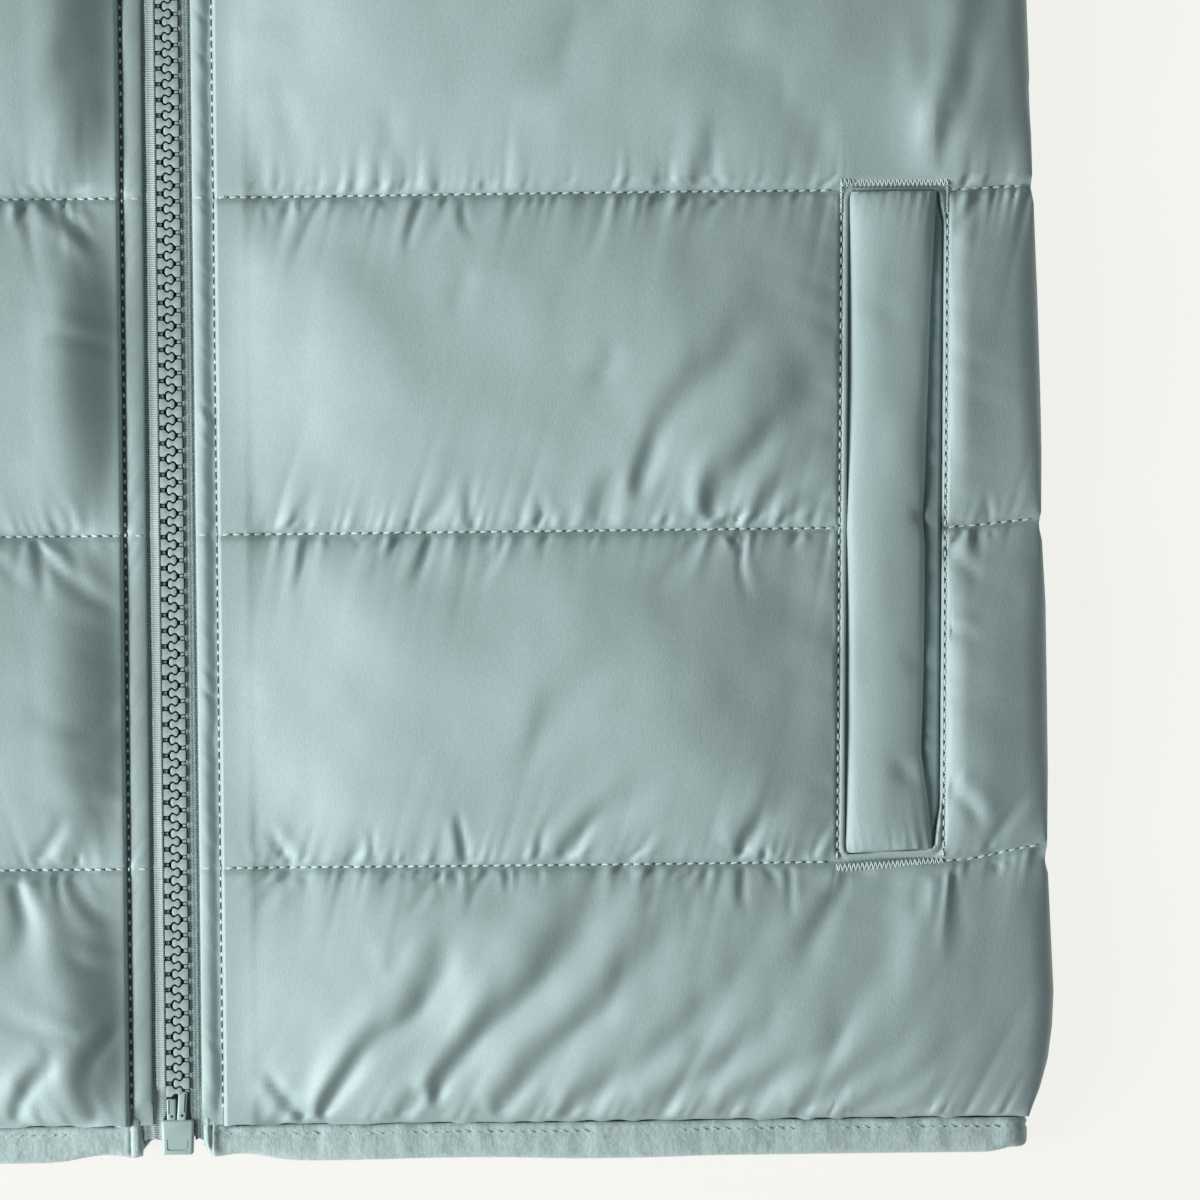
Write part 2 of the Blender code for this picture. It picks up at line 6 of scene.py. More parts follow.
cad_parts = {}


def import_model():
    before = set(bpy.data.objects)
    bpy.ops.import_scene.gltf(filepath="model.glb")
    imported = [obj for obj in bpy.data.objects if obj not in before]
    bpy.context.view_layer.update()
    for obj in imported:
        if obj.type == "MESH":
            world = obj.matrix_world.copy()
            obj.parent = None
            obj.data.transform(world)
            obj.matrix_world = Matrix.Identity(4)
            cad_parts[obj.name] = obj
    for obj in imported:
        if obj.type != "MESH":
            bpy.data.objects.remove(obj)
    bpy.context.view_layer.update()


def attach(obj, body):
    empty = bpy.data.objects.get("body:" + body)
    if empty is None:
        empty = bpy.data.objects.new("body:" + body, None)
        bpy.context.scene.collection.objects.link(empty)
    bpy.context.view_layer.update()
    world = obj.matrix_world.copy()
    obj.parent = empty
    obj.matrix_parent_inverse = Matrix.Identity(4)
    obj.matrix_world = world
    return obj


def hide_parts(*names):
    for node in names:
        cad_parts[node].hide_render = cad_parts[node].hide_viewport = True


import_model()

# Lengths are in millimetres: x from the zip's middle, h up from the hem, z above the floor
millimetre = 0.001
garment = {
    "length": 521.24, "halfWidth": 184.3, "seamGap": 0.3,
    "neckX": 65.0, "neckH": 480.0, "frontNeckH": 422.0, "frontNeckPower": 1.7, "backNeckH": 465.0,
    "shoulderTip": (142.0, 455.0), "underarm": (179.5, 285.0), "armholeWaist": (138.0, 345.0),
    "bindingWidth": 7.8,
    "sideEdge": ((8.1, 178.8), (14.0, 181.2), (20.0, 182.9), (27.0, 183.9), (34.0, 184.3), (48.0, 183.8),
                 (59.0, 183.4), (62.0, 182.6), (65.0, 183.3), (80.0, 183.6), (97.0, 183.6),
                 (116.0, 183.5), (129.0, 182.9), (132.0, 182.2), (135.0, 182.8), (148.0, 183.0),
                 (160.0, 182.9), (180.0, 182.5), (200.0, 181.9), (202.8, 181.3), (206.0, 181.7),
                 (217.0, 181.5), (221.0, 180.9), (226.0, 181.3), (242.0, 180.9), (260.0, 180.3),
                 (276.9, 179.5)),
    "rows": (62.0, 132.0, 202.8, 273.2, 343.6, 414.0),
    "rowLifts": (3.0, 1.5, 0.8, 0.6, 0.6, 0.6),
    "rowLiftX": (163.0, 184.0),
}
panelInset = garment["bindingWidth"] + garment["seamGap"]


def world(x, h, z):
    x, h, z = np.broadcast_arrays(x, h, z)
    return np.stack([x, h - garment["length"] / 2, z], axis=-1) * millimetre


def smoothStep(value):
    value = np.clip(value, 0.0, 1.0)
    return value * value * (3.0 - 2.0 * value)


def hill(distance, width):
    return np.exp(-(distance / width) ** 2)


def softRise(distance, reach):
    return 1.0 - (1.0 - np.clip(distance / reach, 0.0, 1.0)) ** 2


def roundRise(distance, reach):
    return np.sqrt(1.0 - (1.0 - np.clip(distance / reach, 0.0, 1.0)) ** 2)


def noise(u, v, seed):
    lattice = np.random.default_rng(seed).uniform(-1.0, 1.0, (97, 97))
    u, v = np.broadcast_arrays(np.asarray(u, float), np.asarray(v, float))
    iu, iv = np.floor(u).astype(int), np.floor(v).astype(int)
    fu, fv = u - iu, v - iv
    fu = fu ** 3 * (fu * (fu * 6.0 - 15.0) + 10.0)
    fv = fv ** 3 * (fv * (fv * 6.0 - 15.0) + 10.0)
    low = lattice[iu % 97, iv % 97] * (1.0 - fu) + lattice[(iu + 1) % 97, iv % 97] * fu
    high = lattice[iu % 97, (iv + 1) % 97] * (1.0 - fu) + lattice[(iu + 1) % 97, (iv + 1) % 97] * fu
    return low * (1.0 - fv) + high * fv


# Rounded ridges with narrow valleys between them
def gathered(u, v, seed):
    return np.sqrt(noise(u, v, seed) ** 2 + 0.015) - 0.42


# Outline

def armholePoint(t, inset):
    t = np.asarray(t, float)
    (tipX, tipH), (underX, underH) = garment["shoulderTip"], garment["underarm"]
    waistX, waistH = garment["armholeWaist"]
    a, b = underX - waistX, waistH - underH
    angle = np.minimum(t, 0.5) * pi
    s = np.clip(2.0 * t - 1.0, 0.0, 1.0)
    lower = t <= 0.5
    x = np.where(lower, underX - a * np.sin(angle), waistX + (tipX - waistX) * s * s)
    h = np.where(lower, waistH - b * np.cos(angle), waistH + (tipH - waistH) * s)
    nx = np.where(lower, -np.sin(angle) / a, waistH - tipH)
    nh = np.where(lower, -np.cos(angle) / b, 2.0 * (tipX - waistX) * s)
    length = np.hypot(nx, nh)
    return x + inset * nx / length, h + inset * nh / length


armholeX, armholeH = armholePoint(np.linspace(0.0, 1.0, 600), panelInset)


def outerX(h):
    tableH, tableX = np.array(garment["sideEdge"]).T
    side = np.interp(h, tableH, tableX)
    return np.where(h <= armholeH[0], side, np.interp(h, armholeH, armholeX))


def neckH(x, middle, power):
    return middle + (garment["neckH"] - middle) * np.clip(x / garment["neckX"], 0.0, 1.0) ** power


def frontNeck(x):
    return neckH(x, garment["frontNeckH"], garment["frontNeckPower"])


def backNeck(x):
    return neckH(x, garment["backNeckH"], 2.0)


def topH(x, neck):
    (tipX, tipH) = garment["shoulderTip"]
    slope = (garment["neckH"] - tipH) / (tipX - garment["neckX"])
    return np.where(x < garment["neckX"], neck(x), garment["neckH"] - slope * (x - garment["neckX"]))


def distanceTo(x, h, points):
    nearest = np.full(np.shape(x), 1e9)
    for (x0, h0), (x1, h1) in zip(points, points[1:]):
        run = max((x1 - x0) ** 2 + (h1 - h0) ** 2, 1e-9)
        t = np.clip(((x - x0) * (x1 - x0) + (h - h0) * (h1 - h0)) / run, 0.0, 1.0)
        nearest = np.minimum(nearest, np.hypot(x - x0 - t * (x1 - x0), h - h0 - t * (h1 - h0)))
    return nearest


def armholeLine():
    return list(zip(*armholePoint(np.linspace(0.0, 1.0, 24), panelInset)))


def neckLine(neck):
    xs = np.linspace(garment["neckX"], 0.0, 12)
    return list(zip(xs, neck(xs)))


def outline(neck):
    side = [(x, h) for h, x in garment["sideEdge"][::2]] + [(179.5, 276.9)]
    return [(0.0, panelInset)] + side + armholeLine() + neckLine(neck)


def rowHeights(x):
    start, end = garment["rowLiftX"]
    lift = smoothStep((np.abs(x) - start) / (end - start))
    return [row + rise * lift for row, rise in zip(garment["rows"], garment["rowLifts"])]


# Signed distance to the nearest seam row, and which row it is
def rowOffset(x, h):
    gaps = np.stack([h - row for row in rowHeights(x)])
    which = np.argmin(np.abs(gaps), axis=0)
    return np.take_along_axis(gaps, which[None], axis=0)[0], which


# Folds: soft valleys along a line, with a raised flank on one side

def smoothLine(points, steps=8):
    points = np.array(points, float)
    if len(points) < 3:
        return points
    padded = np.vstack([2 * points[0] - points[1], points, 2 * points[-1] - points[-2]])
    line = []
    for a, b, c, d in zip(padded, padded[1:], padded[2:], padded[3:]):
        for t in np.linspace(0.0, 1.0, steps, endpoint=False):
            line.append(0.5 * (2 * b + (c - a) * t + (2 * a - 5 * b + 4 * c - d) * t * t
                               + (3 * b - a - 3 * c + d) * t ** 3))
    return np.array(line + [points[-1]])


def addFold(z, x, h, points, depth, width, flank=0.5, side=1.0, fadeStart=0.12, fadeEnd=0.5):
    line = smoothLine(points)
    reach = 5.0 * width
    low, high = line.min(axis=0) - reach, line.max(axis=0) + reach
    near = (x > low[0]) & (x < high[0]) & (h > low[1]) & (h < high[1])
    if not near.any():
        return
    px, ph = x[near], h[near]
    lengths = np.hypot(*np.diff(line, axis=0).T)
    total = max(lengths.sum(), 1e-6)
    best = np.full(px.shape, 1e9)
    across, along = np.zeros(px.shape), np.zeros(px.shape)
    travelled = 0.0
    for (x0, h0), (x1, h1), length in zip(line, line[1:], lengths):
        ux, uh = (x1 - x0) / length, (h1 - h0) / length
        t = np.clip((px - x0) * ux + (ph - h0) * uh, 0.0, length)
        gap = np.hypot(px - x0 - t * ux, ph - h0 - t * uh)
        sign = np.sign((px - x0) * -uh + (ph - h0) * ux)
        closer = gap < best
        best = np.where(closer, gap, best)
        across = np.where(closer, gap * sign, across)
        along = np.where(closer, (travelled + t) / total, along)
        travelled += length
    fade = smoothStep((along + 0.001) / max(fadeStart, 1e-3)) * smoothStep((1.0 - along) / max(fadeEnd, 1e-3))
    if total > 18.0:
        width = width * (0.5 + 1.2 * along)
        depth = depth * (0.95 - 0.5 * along)
    across = across + 0.38 * width * noise(px / 8.0, ph / 8.0, 97)
    fade = fade * (0.85 + 0.3 * noise(px / 11.0, ph / 11.0, 98))
    shoulder = hill(across - side * 2.0 * width, 1.5 * width)
    z[near] += depth * fade * (flank * shoulder - hill(across, width))


shortFold = {"length": (3.5, 16.0, 2.2), "lean": 0.4, "depth": (0.25, 0.75), "upDepth": 0.8,
             "width": (0.55, 0.95), "widening": (0.75, 22.0), "bend": 0.25, "start": 0.6, "flank": 0.5,
             "fades": (0.05, 0.75)}
pocketGap = {"x": (138.0, 166.0), "top": 210.0}  # no short folds start here


# Short folds that start at the seam rows and run away from them
def addRandomFolds(z, x, h, look):
    rng = np.random.default_rng(look["seed"] + 50)
    start, end = look["foldSpan"]
    shortest, spread, power = shortFold["length"]
    narrowest, per = shortFold["widening"]
    for row in garment["rows"]:
        for away in (1, -1):
            for _ in range(look["foldsPerRow"]):
                x0 = rng.uniform(start, end)
                length = shortest + spread * rng.uniform() ** power
                lean = rng.normal(shortFold["lean"] * away, shortFold["lean"])
                depth = rng.uniform(*shortFold["depth"]) * (1.0 if away < 0 else shortFold["upDepth"])
                width = rng.uniform(*shortFold["width"]) * (narrowest + length / per)
                bend = rng.uniform(-shortFold["bend"], shortFold["bend"])
                side = rng.choice((-1.0, 1.0))
                atPocket = pocketGap["x"][0] < x0 < pocketGap["x"][1] and row < pocketGap["top"]
                if atPocket or x0 > outerX(np.array(row + away * 10.0)) - 8.0:
                    continue
                points = [(x0, row + shortFold["start"] * away),
                          (x0 + lean * length * 0.5, row + away * length * 0.5),
                          (x0 + (lean + bend) * length, row + away * length)]
                addFold(z, x, h, points, depth, width, shortFold["flank"], side, *shortFold["fades"])


# Front panels: quilted cloth raised in its outer points over a plain inside
pocket = {
    "left": 142.0, "right": 160.8, "middle": 150.0, "bottom": 64.2, "top": 202.2, "lean": 2.4,
    "leanMiddle": 133.0, "leanSpan": 137.0, "corner": 1.3, "floorZ": 8.4, "wall": 0.4, "stitch": 1.75,
    "stitchDepth": 0.6, "borderLoft": 0.25, "reach": 40.0, "outerReach": 5.0, "outerLoft": 0.6,
    "bottomTilt": 0.045, "slitRoom": 1.0,
}
front = {
    "insideZ": 5.35, "seamThickness": 2.2, "loft": 7.0, "crown": 5.0, "crownReach": 45.0,
    "edgeX": 5.2, "furrowX": 9.6, "furrowDepth": 1.6, "zipRaise": 3.1, "raiseX": (16.0, 24.0),
    "sideReach": 42.0, "edgeRise": 0.4, "rollRise": 1.3, "furrowRise": 1.5, "cloth": 0.3,
    "channelReach": 33.0, "channelRise": 0.7, "edgeReach": 16.0, "groove": 0.6, "grooveWidth": 0.8,
    "steepReach": 2.0, "steepShare": 0.2, "blend": 2.0,
}
# Gathers: height, spacing along the seam, and reach away from it
gathers = {
    "rowWide": (1.1, 4.7, 8.0), "rowFine": (2.0, 2.3, 2.7),
    "zipWide": (0.5, 6.0, 9.0), "zipFine": (0.4, 2.4, 3.0),
    "hemWide": (1.2, 7.0, 12.0), "hemFine": (1.0, 2.6, 4.0),
    "side": (0.25, 5.0, 6.0), "pocketWide": (0.55, 7.5, 8.0), "pocketFine": (0.35, 3.3, 3.0),
}


def gathersAt(kind, along, away, track, seed):
    height, spacing, reach = gathers[kind]
    return height * gathered(along / spacing, track, seed) * np.exp(-away / reach)


def pocketShift(h):
    return pocket["lean"] * (np.clip(h, 40.0, 230.0) - pocket["leanMiddle"]) / pocket["leanSpan"]


# Distance outside the pocket's opening, negative within it
def pocketOffset(x, h):
    along = x - pocketShift(h)
    bottom = pocket["bottom"] + pocket["bottomTilt"] * np.clip(along - 148.0, -8.0, 20.0)
    corner = pocket["corner"]
    across = np.maximum(pocket["left"] - along, along - pocket["right"]) + corner
    up = np.maximum(bottom - h, h - pocket["top"]) + corner
    outside = np.hypot(np.maximum(across, 0.0), np.maximum(up, 0.0))
    return outside + np.minimum(np.maximum(across, up), 0.0) - corner


# How far the opening's outer wall stands out from its corners
def slitRoom(h):
    lower = smoothStep((h - pocket["bottom"] - 2.0) / 9.0)
    upper = smoothStep((pocket["top"] - 1.0 - h) / 6.0)
    return pocket["slitRoom"] * lower * upper


def frontInside(x):
    start, end = front["raiseX"]
    return front["insideZ"] + front["zipRaise"] * (1.0 - np.clip((x - start) / (end - start), 0.0, 1.0))


# How full the padding is, from 0 at the seams to 1 in the middle of a channel
def fullness(x, gap, edges, sideGap, look):
    fromZip = x - front["furrowX"]
    full = front["steepShare"] * (1.0 - np.exp(-gap / front["steepReach"]))
    full = full + (1.0 - front["steepShare"]) * softRise(gap, front["channelReach"])
    full = full * np.prod([roundRise(near, front["edgeReach"]) for near in edges], axis=0)
    full = full * (0.4 * roundRise(sideGap, 5.0) + 0.6 * softRise(sideGap, front["sideReach"]))
    rounded = look["zipRound"] * roundRise(fromZip, 9.0)
    return full * (rounded + (1.0 - look["zipRound"]) * softRise(fromZip, look["zipReach"]))


# The share of the fullness that the pocket's flat border leaves around it
def pocketShare(x, h, fromPocket):
    beyond = smoothStep((x - pocketShift(h) - pocket["middle"]) / 12.0)
    reach = pocket["reach"] * (1.0 - beyond) + pocket["outerReach"] * beyond
    loft = pocket["borderLoft"] * (1.0 - beyond) + pocket["outerLoft"] * beyond
    return loft + (1.0 - loft) * softRise(fromPocket - pocket["stitch"], reach)


# Broad unevenness of the filling, away from every seam
def unevenness(x, h, gap, edge, sideGap, fromPocket, seed):
    soft = smoothStep(gap / 14.0) * smoothStep(edge / 14.0) * smoothStep((x - front["furrowX"]) / 14.0)
    soft = soft * smoothStep((fromPocket - 1.0) / 12.0) * smoothStep(sideGap / 16.0)
    broad = 0.9 * noise(x / 47.0, h / 33.0, seed + 5)
    broad = broad + 0.5 * noise((x + 0.55 * h) / 22.0, h / 30.0, seed + 6)
    return soft * broad + 0.1 * smoothStep(edge / 8.0) * noise(x / 7.0, h / 9.0, seed + 7)


# Gathers of the cloth along the seam rows, different above and below each row
def rowGathers(x, seam, which, seed):
    gap = np.abs(seam)
    track = which * 2.0 + (seam > 0)
    strength = 0.65 + 0.55 * noise(x / 31.0, track, seed + 1)
    strength = strength * np.where(seam > 0, 0.85, 1.15)
    slant = np.where(seam > 0, 0.32, -0.22)
    along = x - slant * gap
    lifted = 1.0 - np.exp(-gap / 0.6)
    total = gathersAt("rowWide", along, gap, track, seed + 2)
    total = total + gathersAt("rowFine", along, gap, track, seed + 3)
    total = total + 0.2 * noise(along / 1.6, track, seed + 4) * np.exp(-gap / 1.6)
    return strength * lifted * total


# Gathers beside the zip, the hem, the side and the pocket
def edgeGathers(x, h, gap, sideGap, fromPocket, seed):
    fromZip = x - front["furrowX"]
    zipPucker = gathersAt("zipWide", h - 0.3 * fromZip, fromZip, 3.0, seed + 8)
    zipPucker = zipPucker + gathersAt("zipFine", h + 0.144 * fromZip, fromZip, 5.0, seed + 9)
    total = zipPucker * smoothStep(fromZip / 1.5) * smoothStep(gap / 3.0)
    fromHem = h - panelInset
    slide = x - 0.55 * fromHem
    hemPucker = gathersAt("hemWide", slide, fromHem, 1.0, seed + 10)
    hemPucker = hemPucker + gathersAt("hemFine", slide, fromHem, 2.0, seed + 11)
    total = total + hemPucker * smoothStep(fromHem / 1.2) * smoothStep((x - 9.0) / 6.0)
    total = total + gathersAt("side", h, sideGap, 4.0, seed + 12) * smoothStep(sideGap / 2.0)
    past = np.maximum(fromPocket - pocket["stitch"], 0.0)
    aside = x - pocket["middle"]
    ring = gathersAt("pocketWide", h + 0.5 * aside, past, 6.0, seed + 13)
    ring = ring + gathersAt("pocketFine", h + 0.3 * aside, past, 7.0, seed + 14)
    return total + ring * smoothStep(past / 1.5) * smoothStep(gap / 3.0)


def frontZ(x, h, look):
    seam, which = rowOffset(x, h)
    edges = [distanceTo(x, h, line) for line in frontEdges]
    edge = np.minimum.reduce(edges)
    gap, sideGap = np.abs(seam), outerX(h) - x
    fromZip, fromPocket = x - front["furrowX"], pocketOffset(x, h)
    fromStitch = fromPocket - pocket["stitch"]
    full = fullness(x, gap, edges, sideGap, look)
    fading = np.exp(-(np.maximum(fromZip - 14.0, 0.0) / 35.0) ** 2)
    bulge = look["zipBulge"] * smoothStep(fromZip / 14.0) * fading * full
    full = full * pocketShare(x, h, fromPocket)
    across = np.clip(fromZip / (garment["halfWidth"] - front["furrowX"]), 0.0, 1.0)
    crown = front["crown"] * np.sin(pi * across)
    crown = crown * np.prod([softRise(near, front["crownReach"]) for near in edges], axis=0)
    body = front["insideZ"] + front["seamThickness"] + front["loft"] * full + crown + bulge
    body = body + unevenness(x, h, gap, edge, sideGap, fromPocket, look["seed"])
    free = smoothStep((fromZip - 1.0) / 6.0) * smoothStep(fromStitch / 4.0)
    body = body + rowGathers(x, seam, which, look["seed"]) * free
    body = body + edgeGathers(x, h, gap, sideGap, fromPocket, look["seed"])
    for fold in look["folds"]:
        addFold(body, x, h, *fold)
    addRandomFolds(body, x, h, look)

    # Seam groove, and the flat border and opening of the pocket
    groove = front["groove"] * hill(gap, front["grooveWidth"]) * smoothStep(fromStitch / 0.8)
    body = body - pocket["stitchDepth"] * hill(fromStitch, 0.4)
    room = slitRoom(h) * smoothStep((x - pocketShift(h) - 157.0) / 3.0)
    outside = smoothStep((fromPocket + 0.1 - room) / pocket["wall"])
    body = pocket["floorZ"] + (body - pocket["floorZ"]) * outside

    # Toward the zip the cloth runs down to the stitched furrow over the raised inside
    base = frontInside(x) + front["furrowRise"]
    body = 0.5 * (body + base + np.sqrt((body - base) ** 2 + front["blend"])) - groove
    channel = (1.0 - np.exp(-gap / 2.2)) * smoothStep(fromZip / (1.4 * look["furrowWidth"]))
    channel = channel * smoothStep((30.0 - x) / 12.0)
    return body + front["channelRise"] * channel - front["furrowDepth"] * hill(fromZip, look["furrowWidth"])


# The narrow roll between the panel's edge and its topstitched furrow
def rollZ(x, h, look):
    seed = look["seed"]
    seam, _ = rowOffset(x, h)
    toRoll = (x - front["edgeX"]) / (front["furrowX"] - front["edgeX"])
    shape = np.sin(pi * np.clip(0.05 + 0.95 * toRoll, 0.0, 1.0)) ** 0.45
    rise = front["edgeRise"] + (front["rollRise"] - front["edgeRise"]) * shape
    slide = h + 0.9 * (x - 7.0)
    few = smoothStep(noise(h / 16.0, 2.0, seed + 18) + 0.75)
    crease = 1.1 * gathered(slide / 4.6, 8.0, seed + 15) * few
    crease = crease + 0.5 * gathered(slide / 2.3, 9.0, seed + 16)
    rise = rise + crease * smoothStep(toRoll * 1.3) * smoothStep((1.0 - toRoll) / 0.22) * look["creases"]
    rise = rise + 0.15 * noise(h / 9.0, x / 6.0, seed + 17) - 0.25 * hill(seam, 0.7)
    tilt = look["rollTilt"] * (np.maximum(toRoll - 0.3, 0.0) / 0.7) ** 2
    rise = rise - 0.6 * smoothStep((toRoll - 0.84) / 0.16) - tilt
    toHem = smoothStep((h - panelInset) / 6.5)
    lifted = np.maximum(rise - front["cloth"], 0.05) * (0.12 + 0.88 * toHem)
    return frontInside(x) + front["cloth"] + lifted


# Meshes

def addMesh(name, points, faces, material, body="vest"):
    mesh = bpy.data.meshes.new(name)
    mesh.from_pydata(points.reshape(-1, 3).tolist(), [], faces)
    mesh.validate()
    mesh.materials.append(material)
    mesh.shade_smooth()
    mesh.set_sharp_from_angle(angle=1.1)
    item = bpy.data.objects.new(name, mesh)
    bpy.context.scene.collection.objects.link(item)
    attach(item, body)
    return item


def cells(grid):
    return np.stack([grid[:-1, :-1], grid[:-1, 1:], grid[1:, 1:], grid[1:, :-1]], axis=-1).reshape(-1, 4)


# Closed sheet: a fine upper grid, a coarser lower one, and a wall between their edges
def slab(name, x, h, top, bottom, step, material):
    rows, columns = x.shape
    fine = np.arange(rows * columns).reshape(rows, columns)
    pickedRows = list(range(0, rows - 1, step)) + [rows - 1]
    pickedColumns = list(range(0, columns - 1, step)) + [columns - 1]
    coarseAt = np.ix_(pickedRows, pickedColumns)
    coarse = np.arange(len(pickedRows) * len(pickedColumns)).reshape(len(pickedRows), -1) + rows * columns
    points = np.concatenate([world(x, h, top).reshape(-1, 3),
                             world(x[coarseAt], h[coarseAt], bottom[coarseAt]).reshape(-1, 3)])
    faces = cells(fine).tolist() + cells(coarse)[:, [0, 3, 2, 1]].tolist()
    edges = [
        (fine[0, :], coarse[0, :], pickedColumns), (fine[:, -1], coarse[:, -1], pickedRows),
        (fine[-1, ::-1], coarse[-1, ::-1], [columns - 1 - c for c in pickedColumns[::-1]]),
        (fine[::-1, 0], coarse[::-1, 0], [rows - 1 - r for r in pickedRows[::-1]]),
    ]
    for upper, lower, picked in edges:
        for k, (a, b) in enumerate(zip(picked, picked[1:])):
            faces.append([int(lower[k]), int(lower[k + 1])] + [int(v) for v in upper[a:b + 1][::-1]])
    turned = (x[0, -1] - x[0, 0]) * (h[-1, 0] - h[0, 0]) * (top.mean() - bottom.mean()) < 0
    if turned:
        faces = [face[::-1] for face in faces]
    return addMesh(name, points, faces, material)


def spaced(start, end, step):
    count = max(1, int(round((end - start) / step)))
    return np.linspace(start, end, count, endpoint=False)


# Heights of a panel's rows up to the top seam row, closer together beside the seams
def bodyRows(nearStep, farStep, hiddenStep, shownTo):
    heights = [spaced(panelInset, panelInset + 3.0, nearStep)]
    low = panelInset + 3.0
    for row in garment["rows"]:
        far = farStep if row <= shownTo else hiddenStep
        heights += [spaced(low, row - 3.5, far), spaced(row - 3.5, row + 3.5, nearStep)]
        low = row + 3.5
    heights = np.concatenate(heights)
    top = garment["rows"][-1]
    return np.append(heights[heights < top - 0.2], top)


# Columns stay upright inside holdX, which narrows to the neck over holdH, and are drawn in beyond it
panel = {"holdX": 165.0, "holdH": (215.0, 277.0), "scallop": 0.32, "scallopSpacing": 3.3, "scallopReach": 1.4}


# Rows of x and h over a panel: level in the body, then fanned up to the neck and shoulder
def panelGrid(columns, heights, topSteps, neck, leaning):
    outer, neckX = outerX(heights), garment["neckX"]
    anchor = np.interp(heights, panel["holdH"], (panel["holdX"], neckX))
    grow = ((outer - anchor) / (garment["halfWidth"] - anchor))[:, None]
    anchor = anchor[:, None]
    x = np.where(columns <= anchor, columns, anchor + (columns - anchor) * grow)
    if leaning:
        held = smoothStep((columns - 110.0) / 28.0) * smoothStep((184.0 - columns) / 18.0)
        x = x + held * pocketShift(heights)[:, None] * smoothStep((276.0 - heights) / 40.0)[:, None]
    h = np.repeat(heights[:, None], len(columns), axis=1)
    scallop = panel["scallop"] * noise(x / panel["scallopSpacing"], 0.0, 7)
    h = h + scallop * hill(h - panelInset, panel["scallopReach"])
    topT = np.interp(heights[-1], armholeH, np.linspace(0.0, 1.0, 600))
    upperX, upperH = [], []
    for step in np.linspace(0.0, 1.0, topSteps + 1)[1:]:
        fraction = 0.4 * step + 0.3 * (1.0 - cos(pi * step)) if leaning else step
        endX, endH = armholePoint(topT + (1.0 - topT) * fraction, panelInset)
        grow = (endX - neckX) / (garment["halfWidth"] - neckX)
        rowX = np.where(columns <= neckX, columns, neckX + (columns - neckX) * grow)
        rowH = heights[-1] + (topH(rowX, neck) - heights[-1]) * fraction
        rowH = rowH + (endH - rowH[-1]) * smoothStep((rowX - endX + 8.0) / 8.0)
        upperX.append(rowX)
        upperH.append(rowH)
    return np.vstack([x, upperX]), np.vstack([h, upperH])


# Places across a panel, closer together at the furrow and at the pocket's two walls
def frontColumns(nearStep, farStep, pocketStep):
    stops = (front["furrowX"], 11.0, 12.0, 38.0, 138.0, 143.5, 159.5, 164.5, garment["halfWidth"])
    steps = (0.2, 0.4, nearStep, farStep, pocketStep, 1.6, pocketStep, farStep)
    columns = [spaced(start, end, step) for start, end, step in zip(stops, stops[1:], steps)]
    return np.append(np.concatenate(columns), garment["halfWidth"])


shoulderLine = [armholeLine()[-1], neckLine(frontNeck)[0]]
frontEdges = ([(0.0, panelInset), (190.0, panelInset)], armholeLine(), shoulderLine, neckLine(frontNeck))

